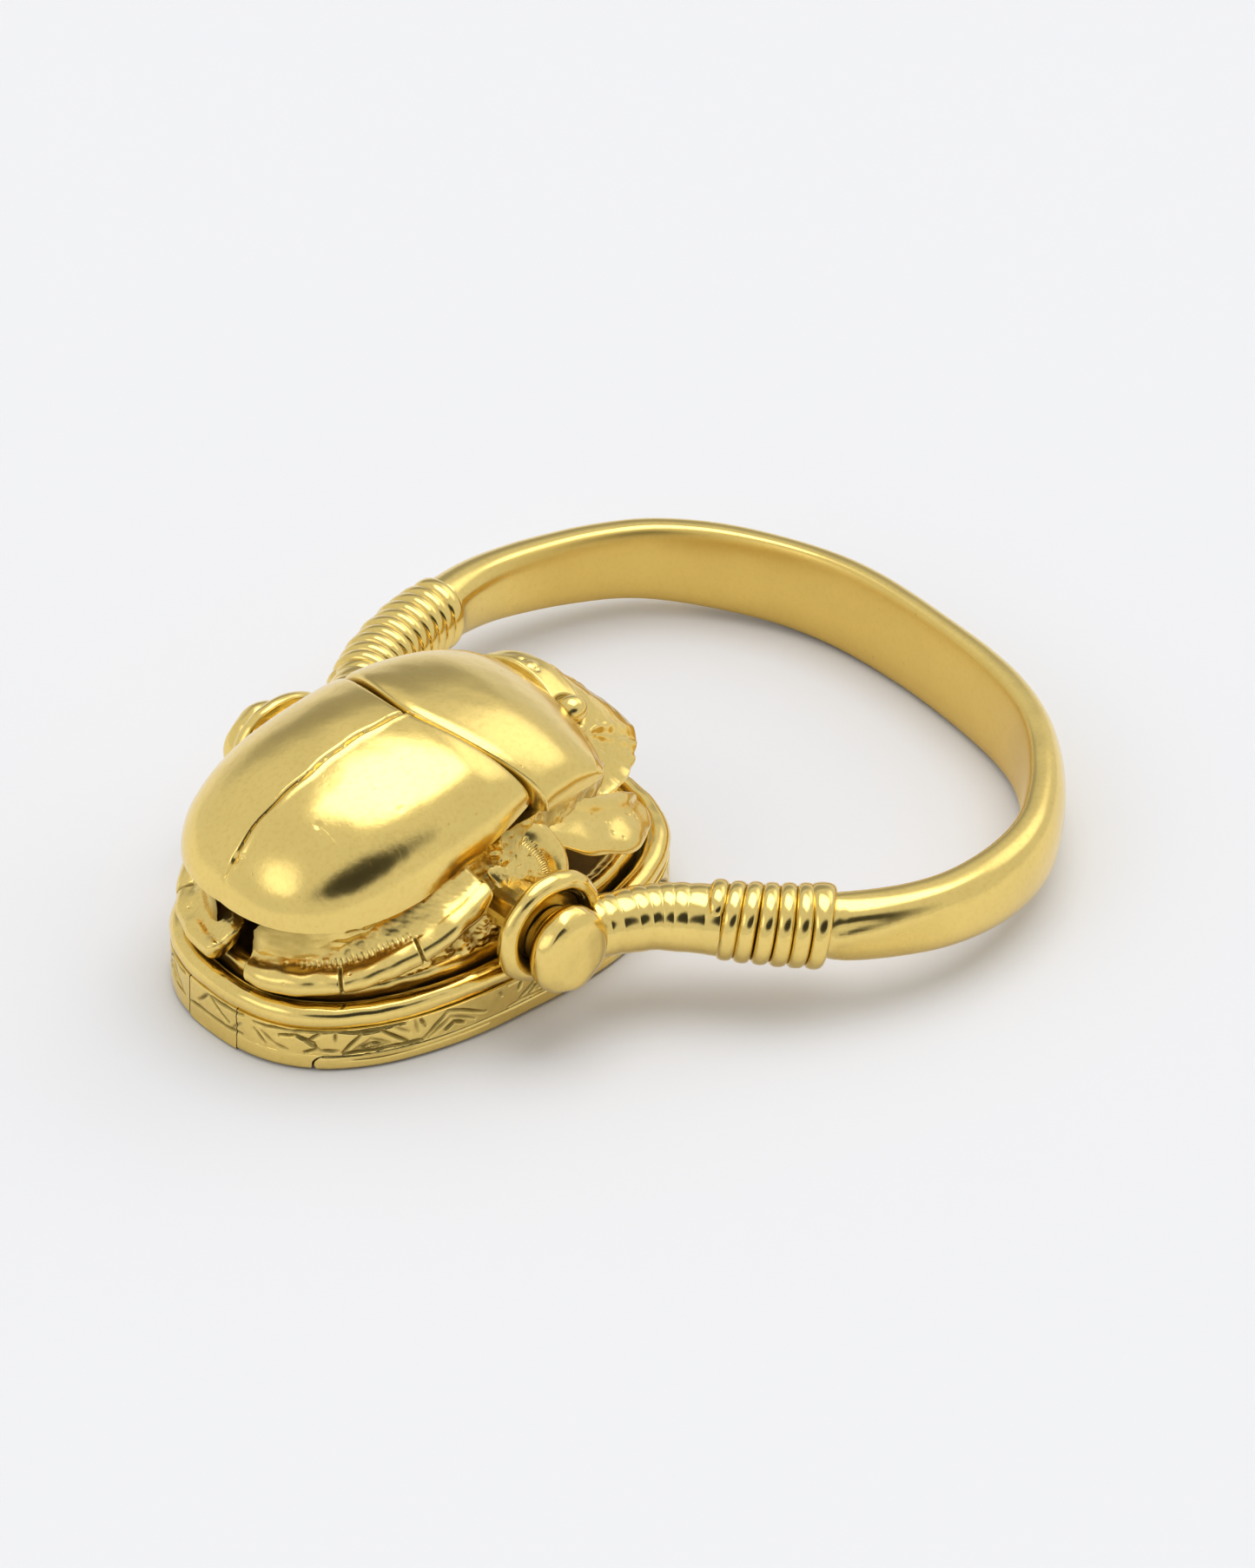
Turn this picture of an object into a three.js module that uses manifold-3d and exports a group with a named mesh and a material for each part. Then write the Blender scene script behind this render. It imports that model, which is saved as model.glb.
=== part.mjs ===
// Swivel locket ring: a scarab on an oval box with a hinged lid, turning between the wrapped arms of a hoop.
// Millimetres, +Z up. The box stands on its lid at z = 0, the swivel axis runs along Y, the head points to +X.
import * as THREE from 'three';
import { mergeVertices } from 'three/addons/utils/BufferGeometryUtils.js';
import Module from 'manifold-3d';

const wasm = await Module();
wasm.setup();

// Oval box and its lid
const boxHalfLength = 7.46;
const boxHalfWidth = 4.85;
const ovalPower = 2.49;
const ovalSteps = 64;
const seatGap = 0.05;
const meshTolerance = 0.004;
const overrun = 20;
const lidHeight = 0.46;
const lidPlateThickness = 0.3;
const lidRimWidth = 0.5;
const lidSoftEdge = 0.15;
const wallHeight = 0.86;
const wallThickness = 0.45;
const ledgeReach = 0.25;
const ledgeThickness = 0.2;
const basePlateThickness = 0.26;
const beadRadius = 0.34;
const beadSink = 0.22;
const beadSteps = 7;
const channelWidth = 0.12;
const skirtHeight = 0.8;
const skirtWidth = 0.75;
const snapRingThickness = 0.22;
const snapRingHeight = 0.34;
const tailBlockHalfWidth = 1;
const tailBlockDepth = 0.3;

// Lid hinge across the tail
const hingeFromTail = 1.31;
const knuckleRadius = 0.22;
const hingePinRadius = 0.1;
const hingePinGap = 0.04;
const knuckleGap = 0.06;
const knuckleCount = 5;
const hingeSpanShare = 0.5;
const hingeSwingGap = 0.08;
const hingeSides = 24;
const knuckleSides = 16;
const hingeBoreSides = 12;
const hingePinSides = 10;

// Swivel
const swivelHeight = 3.35;
const swivelOffset = -0.3;
const pinRadius = 0.42;
const pinTubeThickness = 0.26;
const swivelGap = 0.07;
const cupStandOff = 0.25;
const cupDepth = 0.62;
const cupRadius = 1.73;
const cupLip = 0.34;
const cupDishDepth = 0.34;
const cupFootShare = 0.72;
const cupSideGap = 0.14;
const cupSides = 28;
const cupLipSteps = 4;
const cupGapSides = 48;
const pinSides = 20;
const pinTubeSides = 24;
const saddleSides = 28;
const rivetSides = 24;
const rivetSteps = 5;
const rivetRadius = 1.13;
const rivetFoot = 0.88;
const rivetShank = 0.42;
const rivetDome = 0.8;
const rivetGrip = 0.45;
const rivetSag = 0.3;
const saddleLength = 0.9;
const saddleHalfWidth = 0.8;

// Hoop
const hoopDrop = 0.5;
const hoopReach = 18.56;
const hoopSpreadShare = 2;
const armSideGap = 0.15;
const hoopWidth = 2.84;
const hoopThickness = 1.14;
const shoulderWidth = 1.9;
const shoulderThickness = 1.66;
const shoulderRamp = 0.5;
const rightArmRadius = 0.82;
const leftArmRadius = 0.68;
const neckRadius = 0.58;
const hoopStations = 60;
const hoopSides = 14;
const hoopOuterShare = 0.62;
const hoopEdgePower = 0.8;
const hoopInsidePower = 0.45;
const hoopFlatPower = 0.3;
const rightShoulder = 7.15;
const leftShoulder = 8.25;

// Wire wound on the arms
const wireRadius = 0.175;
const wireGap = 0.125;
const wireSides = 6;
const wireStepsPerTurn = 16;
const rightTurns = 6.5;
const leftTurns = 10;
const windingGap = 0.05;
const bindingStart = 0.3;
const bindingWall = 0.17;
const bindingFlare = 0.16;
const bindingRidge = 0.05;
const bindingStepsPerRidge = 3;
const bindingCoreSteps = 14;
const rightRidges = 8;
const leftRidges = 8;

// Scarab
const backTail = -7.1;
const backLength = 9.2;
const backHalfWidth = 3.85;
const backEdge = 4;
const backRise = 3.72;
const backWall = 0.5;
const backSides = 18;
const backHollowDrop = 2;
const wingPower = 2.2;
const domePower = 2.2;
const thoraxStart = -0.47;
const thoraxLength = 5.42;
const thoraxSweep = 1.25;
const thoraxFrontSweep = 0.85;
const thoraxSkew = 0.6;
const thoraxHalfWidth = 3.68;
const thoraxFrontHalfWidth = 3.2;
const thoraxEdge = 5.3;
const thoraxRise = 2.33;
const thoraxLean = 0.35;
const thoraxFrontEdge = 5.15;
const thoraxFrontRise = 0.3;
const thoraxSkirt = 0.6;
const thoraxStations = 20;
const thoraxSweepPower = 1.6;
const grooveRadius = 0.17;
const grooveSides = 6;
const grooveSteps = 16;
const sutureWidth = 0.2;
const sutureDepth = 0.16;
const headCentreX = 4.4;
const headShift = 0.6;
const crownLength = 1.95;
const crownHalfWidth = 2.4;
const crownHeight = 1.3;
const crownZ = 4.55;
const crownPower = 2.6;
const crownSides = 24;
const fanReach = 2.9;
const fanHalfSpan = 2.15;
const fanHalfAngle = 1.25;
const fanRoot = 0.9;
const fanRootZ = 4.9;
const fanDrop = 1.5;
const fanThickness = 0.36;
const fanLobes = 7;
const fanLobeSteps = 4;
const fanFallPower = 1.2;
const fanScallop = 0.14;
const fanRidge = 0.07;
const eyeRadius = 0.4;
const eyeSides = 14;
const beadSides = 10;
const legGap = 0.06;
const legSides = 12;
const rearLegSlant = 0.75;
const middleLegSlant = 0.9;
const frontLegSlant = 0.6;

// Levels and places worked out from the sizes above
const wallBottom = lidHeight + seatGap;
const wallTop = wallBottom + wallHeight;
const plateBottom = wallTop - basePlateThickness;
const ledgeTop = plateBottom - seatGap;
const beadBottom = wallTop + seatGap;
const skirtInset = 2 * beadRadius + channelWidth;
const blockTop = wallTop - seatGap;
const hingeX = hingeFromTail - boxHalfLength;
const hingeZ = lidHeight / 2;
const hingeReach = hingeZ + hingeSwingGap;
const hingeHalfSpan = hingeSpanShare * (boxHalfWidth - hingeReach);
const knuckleLength = (2 * hingeHalfSpan + knuckleGap) / knuckleCount - knuckleGap;
const hingePitch = knuckleLength + knuckleGap;
const swivelAxis = [swivelOffset, swivelHeight];
const pinTubeInner = pinRadius + swivelGap;
const pinTubeRadius = pinTubeInner + pinTubeThickness;
const cupBack = boxHalfWidth + cupStandOff;
const cupFace = cupBack + cupDepth;
const pinTubeHalf = cupBack - cupSideGap;
const hoopHalfSpan = hoopSpreadShare * (boxHalfWidth + armSideGap);
const wirePitch = 2 * wireRadius + wireGap;
const circle = 2 * Math.PI;

const signedPower = (value, power) => Math.sign(value) * Math.abs(value) ** power;
const lerp = THREE.MathUtils.lerp;
const clamp = THREE.MathUtils.clamp;

// Solids and geometries

function toSolid(geometry) {
  const bare = geometry.clone();
  bare.deleteAttribute('normal');
  bare.deleteAttribute('uv');
  const merged = mergeVertices(bare, 1e-5);
  const vertProperties = new Float32Array(merged.attributes.position.array);
  const triVerts = new Uint32Array(merged.index.array);
  return new wasm.Manifold(new wasm.Mesh({ numProp: 3, vertProperties, triVerts }));
}

// Slivers that the cuts leave are merged away first.
function toGeometry(solid) {
  const mesh = solid.simplify(meshTolerance).getMesh();
  const geometry = new THREE.BufferGeometry();
  geometry.setAttribute('position', new THREE.BufferAttribute(mesh.vertProperties, 3));
  geometry.setIndex(new THREE.BufferAttribute(mesh.triVerts, 1));
  geometry.computeVertexNormals();
  return geometry;
}

const join = (...solids) => solids.reduce((sum, solid) => sum.add(solid));
const cut = (solid, ...tools) => tools.reduce((rest, tool) => rest.subtract(tool), solid);

// Six times the volume inside the triangles, negative when they face inwards.
function signedVolume(points, index) {
  let sum = 0;
  for (let i = 0; i < index.length; i += 3) {
    const [a, b, c] = [points[index[i]], points[index[i + 1]], points[index[i + 2]]];
    sum += a.dot(b.clone().cross(c));
  }
  return sum;
}

// A closed body through rings of points that all run the same way. With loop set, the last ring joins the first.
function loft(rings, loop = false) {
  const count = rings[0].length;
  const points = rings.flat();
  const index = [];
  const bands = loop ? rings.length : rings.length - 1;
  for (let ring = 0; ring < bands; ring += 1) {
    const here = ring * count;
    const next = ((ring + 1) % rings.length) * count;
    for (let side = 0; side < count; side += 1) {
      const turn = (side + 1) % count;
      index.push(here + side, here + turn, next + turn);
      index.push(here + side, next + turn, next + side);
    }
  }
  const close = (ring, flip) => {
    const middle = points.length;
    const centre = rings[ring].reduce((sum, point) => sum.add(point), new THREE.Vector3());
    points.push(centre.divideScalar(count));
    for (let side = 0; side < count; side += 1) {
      const a = ring * count + side;
      const b = ring * count + ((side + 1) % count);
      index.push(...(flip ? [b, a, middle] : [a, b, middle]));
    }
  };
  if (!loop) {
    close(0, true);
    close(rings.length - 1, false);
  }
  if (signedVolume(points, index) < 0) index.reverse();
  const geometry = new THREE.BufferGeometry().setFromPoints(points);
  geometry.setIndex(index);
  return toSolid(geometry);
}

// A point on the oval that lies inset from the box's outline.
function ovalPoint(step, inset, z) {
  const angle = (step / ovalSteps) * circle;
  const x = (boxHalfLength - inset) * signedPower(Math.cos(angle), 2 / ovalPower);
  const y = (boxHalfWidth - inset) * signedPower(Math.sin(angle), 2 / ovalPower);
  return new THREE.Vector3(x, y, z);
}

// A moulding that runs round the oval. The profile lists its [inset, z] corners.
function ovalMoulding(profile) {
  const steps = [...Array(ovalSteps).keys()];
  return loft(steps.map((step) => profile.map(([inset, z]) => ovalPoint(step, inset, z))), true);
}

// A plate with the oval's outline, inset from the box's outline.
function ovalPlate(inset, bottom, top) {
  const steps = [...Array(ovalSteps).keys()];
  return loft([bottom, top].map((z) => steps.map((step) => ovalPoint(step, inset, z))));
}

function block([x0, x1], [y0, y1], [z0, z1]) {
  const geometry = new THREE.BoxGeometry(x1 - x0, y1 - y0, z1 - z0);
  geometry.translate((x0 + x1) / 2, (y0 + y1) / 2, (z0 + z1) / 2);
  return toSolid(geometry);
}

// A round bar along Y.
function barAlongY(radius, [y0, y1], [x, z], sides = pinSides) {
  const geometry = new THREE.CylinderGeometry(radius, radius, y1 - y0, sides);
  geometry.translate(x, (y0 + y1) / 2, z);
  return toSolid(geometry);
}

// A body of revolution about the swivel axis. The profile lists [radius, distance out along Y] corners.
function turned(profile, side, sides) {
  const geometry = new THREE.LatheGeometry(profile.map(([r, y]) => new THREE.Vector2(r, y)), sides);
  const solid = toSolid(geometry);
  const faced = solid.volume() < 0 ? toSolid(reversed(geometry)) : solid;
  return (side < 0 ? faced.mirror([0, 1, 0]) : faced).translate([swivelOffset, 0, swivelHeight]);
}

function reversed(geometry) {
  const turnedOver = geometry.clone();
  turnedOver.setIndex([...geometry.index.array].reverse());
  return turnedOver;
}

// Sections swept along a row of stations. Each has a centre, two axes across and [across, over] offsets.
function sweep(stations) {
  return loft(stations.map(({ centre, across, over, section }) => section.map(([a, b]) => (
    centre.clone().addScaledVector(across, a).addScaledVector(over, b)
  ))));
}

function ellipse(a, b, sides) {
  return [...Array(sides).keys()].map((side) => {
    const angle = (side / sides) * circle;
    return [a * Math.cos(angle), b * Math.sin(angle)];
  });
}

// Box

const allY = [-overrun, overrun];
const allZ = [-overrun, overrun];
const behindHinge = () => block([-overrun, hingeX - hingeReach], allY, allZ);

// A ring under the wall that reaches down to the table, with a soft lower edge.
function heelSection(top) {
  return ovalMoulding([
    [0, lidSoftEdge],
    [0, top],
    [wallThickness, top],
    [wallThickness, 0],
    [lidSoftEdge, 0],
  ]);
}

function bezelWall() {
  const ledgeInset = wallThickness + ledgeReach;
  const ledgeBottom = ledgeTop - ledgeThickness;
  const ring = ovalMoulding([
    [0, wallBottom],
    [0, wallTop],
    [wallThickness, wallTop],
    [wallThickness, ledgeTop],
    [ledgeInset, ledgeTop],
    [ledgeInset, ledgeBottom],
    [wallThickness, ledgeBottom],
    [wallThickness, wallBottom],
  ]);
  const slotHalf = tailBlockHalfWidth + seatGap;
  const slotEnd = tailBlockDepth - boxHalfLength;
  const slot = block([-overrun, slotEnd], [-slotHalf, slotHalf], [-overrun, blockTop + seatGap]);
  const heel = heelSection(wallBottom + seatGap).intersect(block([-overrun, hingeX], allY, allZ));
  return cut(join(ring, heel), hingeBar(hingeReach, allY, hingeSides), slot);
}

function tailBlock() {
  const slice = block(
    [-overrun, tailBlockDepth - seatGap - boxHalfLength],
    [-tailBlockHalfWidth, tailBlockHalfWidth],
    [-overrun, blockTop],
  );
  return heelSection(wallTop).intersect(slice);
}

function beadMoulding() {
  const low = -Math.asin(beadSink / beadRadius);
  const arc = [...Array(beadSteps + 1).keys()].map((step) => {
    const angle = lerp(low, Math.PI - low, step / beadSteps);
    return [beadRadius * (1 - Math.cos(angle)), beadBottom + beadSink + beadRadius * Math.sin(angle)];
  });
  return ovalMoulding(arc);
}

// The rail under the legs: shares of the skirt's width and height.
const skirtShares = [[0, 0], [0, 0.55], [0.08, 0.84], [0.3, 1], [0.66, 0.95], [1, 0.7], [1, 0]];
function bodySkirt(grow = 0) {
  return ovalMoulding(skirtShares.map(([w, h]) => [
    skirtInset + w * skirtWidth + (w > 0.5 ? grow : -grow),
    beadBottom + h * skirtHeight + (h > 0 ? grow : -grow),
  ]));
}

function tubeSaddle(side) {
  const outer = boxHalfWidth - skirtInset - skirtWidth - seatGap;
  const [near, far] = side < 0 ? [-outer, saddleLength - outer] : [outer - saddleLength, outer];
  const width = [swivelOffset - saddleHalfWidth, swivelOffset + saddleHalfWidth];
  const post = block(width, [near, far], [beadBottom, swivelHeight]);
  return cut(post, barAlongY(pinTubeRadius + seatGap, allY, swivelAxis, saddleSides));
}

// Lid and hinge

const hingeBar = (radius, length, sides) => barAlongY(radius, length, [hingeX, hingeZ], sides);

function knuckles(first) {
  const bars = [];
  for (let place = first; place < knuckleCount; place += 2) {
    const start = place * hingePitch - hingeHalfSpan;
    bars.push({ start, end: start + knuckleLength });
  }
  return bars;
}

// Joins a leaf to its own knuckles by webs under the hinge pin, on its own side of the hinge line.
function hingeLeaf(slab, own, direction) {
  const far = hingeX + direction * (hingeReach + seatGap);
  const reach = [Math.min(hingeX, far), Math.max(hingeX, far)];
  const bars = own.map(({ start, end }) => hingeBar(knuckleRadius, [start, end], knuckleSides));
  const webs = own.map(({ start, end }) => block(reach, [start, end], [0, hingeZ]));
  return cut(join(slab, ...bars, ...webs), hingeBar(hingePinRadius + hingePinGap, allY, hingeBoreSides));
}

function heelPlate() {
  const plate = ovalPlate(wallThickness + seatGap, 0, lidHeight).intersect(behindHinge());
  return hingeLeaf(plate, knuckles(0), -1);
}

function lidPlate() {
  const plate = ovalPlate(lidRimWidth + seatGap, 0, lidPlateThickness);
  const ahead = block([hingeX + hingeReach, overrun], allY, allZ);
  return hingeLeaf(plate.intersect(ahead), knuckles(1), 1);
}

// The rim ends in a round on the hinge line, like an outer knuckle, so that it turns in the hollow of the wall.
function lidRim() {
  const ring = ovalMoulding([
    [0, lidSoftEdge],
    [0, lidHeight],
    [lidRimWidth, lidHeight],
    [lidRimWidth, 0],
    [lidSoftEdge, 0],
    [lidSoftEdge / 4, lidSoftEdge / 4],
  ]);
  const ahead = block([hingeX, overrun], allY, allZ);
  return ring.intersect(join(ahead, hingeBar(hingeZ, allY, hingeSides)));
}

function snapRing() {
  const inset = lidRimWidth + seatGap;
  const bottom = lidPlateThickness + seatGap;
  const ring = ovalMoulding([
    [inset, bottom],
    [inset, bottom + snapRingHeight],
    [inset + snapRingThickness, bottom + snapRingHeight],
    [inset + snapRingThickness, bottom],
  ]);
  return ring.intersect(block([hingeX + 4 * hingeReach, overrun], allY, allZ));
}

// Swivel

function pinTube() {
  const tube = barAlongY(pinTubeRadius, [-pinTubeHalf, pinTubeHalf], swivelAxis, pinTubeSides);
  return cut(tube, barAlongY(pinTubeInner, allY, swivelAxis));
}

function terminalCup(side) {
  const bore = pinRadius + seatGap;
  const floor = cupFace - cupDishDepth;
  const lip = [...Array(cupLipSteps + 1).keys()].map((step) => {
    const angle = (step / cupLipSteps) * Math.PI;
    return [cupRadius - (cupLip / 2) * (1 - Math.cos(angle)), cupFace - (cupLip / 2) * (1 - Math.sin(angle))];
  });
  return turned([
    [bore, cupBack],
    [cupRadius * cupFootShare, cupBack],
    [cupRadius - cupLip / 2, cupFace - cupLip],
    ...lip,
    [cupRadius - cupLip, floor],
    [bore, floor],
    [bore, cupBack],
  ], side, cupSides);
}

// A hammered head that has sagged below the pin's centre.
function rivetHead(side) {
  const foot = cupFace - cupDishDepth + seatGap;
  const brow = cupFace + rivetShank;
  const arc = [...Array(rivetSteps).keys()].map((step) => {
    const angle = (step / rivetSteps) * (Math.PI / 2);
    return [rivetRadius * Math.cos(angle), brow + rivetDome * Math.sin(angle)];
  });
  const head = turned([
    [0, foot],
    [rivetFoot, foot],
    [rivetFoot, cupFace],
    ...arc,
    [0, brow + rivetDome],
  ], side, rivetSides).translate([0, 0, -rivetSag]);
  const tip = cupFace + rivetGrip + seatGap;
  return cut(head, barAlongY(pinRadius + seatGap, [-tip, tip], swivelAxis));
}

const swivelPin = () => barAlongY(pinRadius, [-cupFace - rivetGrip, cupFace + rivetGrip], swivelAxis);

// Hoop, made flat about the swivel axis and then dipped until its far edge touches the table

// The middle line from the right cup round to the left one, as shares of the reach and the half span.
const hoopShares = [
  [0.07, -0.563], [0.124, -0.59], [0.18, -0.631], [0.245, -0.735], [0.308, -0.848], [0.41, -0.985],
  [0.532, -1.06], [0.663, -1.045], [0.783, -0.942], [0.949, -0.579], [1, -0.099], [0.977, 0.385],
  [0.831, 0.779], [0.586, 0.921], [0.436, 0.893], [0.356, 0.845], [0.28, 0.78], [0.199, 0.683],
  [0.129, 0.596], [0.07, 0.563],
];
const hoopLine = new THREE.CatmullRomCurve3(
  hoopShares.map(([x, y]) => new THREE.Vector3(x * hoopReach, y * hoopHalfSpan, 0)),
);
hoopLine.arcLengthDivisions = 400;
const hoopLength = hoopLine.getLength();
const hoopStart = swivelHeight - hoopDrop;
const hoopTilt = (
  Math.asin(hoopStart / Math.hypot(hoopReach, hoopWidth / 2)) - Math.atan(hoopWidth / 2 / hoopReach)
);

function hoopFrame(distance) {
  const share = clamp(distance / hoopLength, 0, 1);
  const along = hoopLine.getTangentAt(share);
  const over = new THREE.Vector3(0, 0, 1);
  const across = along.clone().cross(over);
  return { centre: hoopLine.getPointAt(share), along, across, over };
}

// The distance from the nearer end, and how far the place lies beyond that end's shoulder: 1 is half way round.
function fromShoulder(distance) {
  const right = distance < hoopLength / 2;
  const fromEnd = right ? distance : hoopLength - distance;
  const shoulder = right ? rightShoulder : leftShoulder;
  const armRadius = right ? rightArmRadius : leftArmRadius;
  return { fromEnd, shoulder, armRadius, beyond: (fromEnd - shoulder) / (hoopLength / 2 - shoulder) };
}

function armRadiusAt(distance) {
  const { fromEnd, shoulder, armRadius } = fromShoulder(distance);
  return lerp(neckRadius, armRadius, clamp(fromEnd / shoulder, 0, 1));
}

function hoopSection(distance) {
  const { fromEnd, shoulder, beyond } = fromShoulder(distance);
  const ramp = THREE.MathUtils.smoothstep(fromEnd, shoulder, shoulder + shoulderRamp);
  const widen = Math.sin(clamp(beyond, 0, 1) * (Math.PI / 2));
  const core = armRadiusAt(distance);
  const halfWidth = lerp(core, lerp(shoulderWidth, hoopWidth, widen) / 2, ramp);
  const thickness = lerp(2 * core, lerp(shoulderThickness, hoopThickness, Math.sqrt(widen)), ramp);
  const flat = ramp * widen ** hoopFlatPower;
  const outward = thickness * lerp(0.5, hoopOuterShare, flat);
  const inward = thickness - outward;
  return [...Array(hoopSides).keys()].map((side) => {
    const angle = (side / hoopSides) * circle;
    const c = Math.cos(angle);
    const power = lerp(1, c > 0 ? hoopEdgePower : hoopInsidePower, flat);
    const a = (c > 0 ? outward : inward) * signedPower(c, power);
    const b = halfWidth * signedPower(Math.sin(angle), lerp(1, hoopEdgePower, flat));
    return [a, b];
  });
}

function hoopStationsBetween(start, end, count, section) {
  return [...Array(count + 1).keys()].map((step) => {
    const distance = lerp(start, end, step / count);
    const { centre, across, over } = hoopFrame(distance);
    return { centre, across, over, section: section(distance) };
  });
}

// The space round both cups, as it lies in the dipped hoop's own frame.
function cupClearance() {
  const centre = [-hoopDrop * Math.sin(hoopTilt), hoopDrop * Math.cos(hoopTilt)];
  return barAlongY(cupRadius + seatGap, allY, centre, cupGapSides);
}

function hoop() {
  return cut(sweep(hoopStationsBetween(0, hoopLength, hoopStations, hoopSection)), cupClearance());
}

// Wire wound round an arm: one unbroken tube, its middle line on a helix that follows the arm.
function windingLine(side, turns) {
  const shoulder = side < 0 ? rightShoulder : leftShoulder;
  const steps = turns * wireStepsPerTurn;
  const points = [];
  for (let step = 0; step <= steps; step += 1) {
    const fromEnd = shoulder - wireRadius - wireGap - (turns - step / wireStepsPerTurn) * wirePitch;
    const distance = side < 0 ? fromEnd : hoopLength - fromEnd;
    const { centre, across, over } = hoopFrame(distance);
    const radius = armRadiusAt(distance) + windingGap + wireRadius;
    const angle = (step / wireStepsPerTurn) * circle * -side;
    const out = across.clone().multiplyScalar(Math.cos(angle)).addScaledVector(over, Math.sin(angle));
    points.push({ point: centre.clone().addScaledVector(out, radius), out });
  }
  return points;
}

function winding(side, turns) {
  const line = windingLine(side, turns);
  return sweep(line.map(({ point, out }, place) => {
    const before = line[Math.max(place - 1, 0)].point;
    const after = line[Math.min(place + 1, line.length - 1)].point;
    const along = after.clone().sub(before).normalize();
    const over = along.clone().cross(out).normalize();
    const section = ellipse(wireRadius, wireRadius, wireSides);
    return { centre: point, across: over.clone().cross(along), over, section };
  }));
}

// The least clear space between one turn of a winding and the next.
function leastGap(side, turns) {
  const points = windingLine(side, turns).map(({ point }) => point);
  let least = Infinity;
  points.forEach((point, place) => {
    for (let other = place + Math.ceil(wireStepsPerTurn / 2); other < points.length; other += 1) {
      least = Math.min(least, point.distanceTo(points[other]));
    }
  });
  return least - 2 * wireRadius;
}

// The fine binding next to a cup: a sleeve whose surface rises in close ridges and flares towards the thick turns.
function binding(side, turns, ridges) {
  const shoulder = side < 0 ? rightShoulder : leftShoulder;
  const end = shoulder - 2 * wireRadius - 2 * wireGap - turns * wirePitch;
  const steps = ridges * bindingStepsPerRidge;
  const place = (fromEnd) => (side < 0 ? fromEnd : hoopLength - fromEnd);
  const sleeve = [...Array(steps + 1).keys()].map((step) => {
    const share = step / steps;
    const distance = place(lerp(bindingStart, end, share));
    const ridge = step % bindingStepsPerRidge ? bindingRidge : 0;
    const radius = armRadiusAt(distance) + windingGap + bindingWall + bindingFlare * share + ridge;
    const { centre, across, over } = hoopFrame(distance);
    return { centre, across, over, section: ellipse(radius, radius, hoopSides) };
  });
  const core = hoopStationsBetween(place(0), place(shoulder), bindingCoreSteps, (distance) => {
    const radius = armRadiusAt(distance) + windingGap;
    return ellipse(radius, radius, hoopSides);
  });
  return cut(sweep(sleeve), sweep(core), cupClearance());
}

// Scarab

// Along the back from the tail: shares of its length, of the half width on the right and on the left, and of
// the rise for the lower edge and the top.
const wingShares = [
  [0, 0.17, 0.183, 0.08, 0.14], [0.011, 0.34, 0.361, 0.075, 0.22], [0.027, 0.46, 0.486, 0.07, 0.29],
  [0.065, 0.6, 0.639, 0.07, 0.45], [0.13, 0.745, 0.823, 0.08, 0.61], [0.217, 0.85, 0.944, 0.1, 0.745],
  [0.326, 0.93, 1, 0.14, 0.855], [0.424, 0.982, 1.034, 0.195, 0.915], [0.533, 1, 1.039, 0.255, 0.955],
  [0.641, 0.992, 1.039, 0.32, 0.99], [0.728, 0.974, 1.031, 0.376, 0.985], [0.815, 0.935, 1, 0.43, 0.92],
  [0.88, 0.888, 0.953, 0.462, 0.83], [0.935, 0.82, 0.872, 0.497, 0.73], [1, 0.72, 0.746, 0.5, 0.58],
];

// A cross-section that arches from one lower edge over the top to the other.
function arch(x, rightHalf, leftHalf, edge, top) {
  return [...Array(backSides + 1).keys()].map((side) => {
    const angle = (side / backSides - 0.5) * Math.PI;
    const y = (angle < 0 ? rightHalf : leftHalf) * signedPower(Math.sin(angle), 2 / wingPower);
    const z = edge + (top - edge) * signedPower(Math.cos(angle), 2 / wingPower);
    return new THREE.Vector3(x, y, side === 0 || side === backSides ? edge : z);
  });
}

// The wing cases, grown by a clearance or shrunk by a wall. A shrunk one reaches down past the lower edge.
function wingCases(grow = 0) {
  const stations = grow < 0 ? wingShares.slice(3) : wingShares;
  return loft(stations.map(([along, right, left, edge, top]) => arch(
    backTail + along * backLength + (along < 0.5 ? -grow : grow),
    right * backHalfWidth + grow,
    left * backHalfWidth + grow,
    backEdge + edge * backRise - (grow < 0 ? backHollowDrop : grow),
    backEdge + top * backRise + grow,
  )));
}

// The thorax is not quite even: its left side lies further back, reaches further ahead and stands higher.
const dome = (share) => Math.max(1 - Math.abs(share) ** domePower, 0) ** (1 / domePower);
const thoraxRearX = (share) => (
  thoraxStart + thoraxSweep * Math.abs(share) ** thoraxSweepPower - thoraxSkew * share
);
const thoraxFrontX = (share) => (
  thoraxStart + thoraxLength - thoraxFrontSweep * Math.abs(share) ** domePower + (thoraxSkew / 2) * share
);
const thoraxTop = (share) => thoraxEdge + thoraxRise * dome(share) + thoraxLean * share;

// The crown of the thorax between its rear and front edges: shares of the way forward and of the fall.
const crownShares = [
  [0, 0.03], [0.06, 0], [0.25, 0.04], [0.5, 0.17], [0.73, 0.42], [0.9, 0.74], [0.97, 0.91], [1, 1],
];

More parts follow.
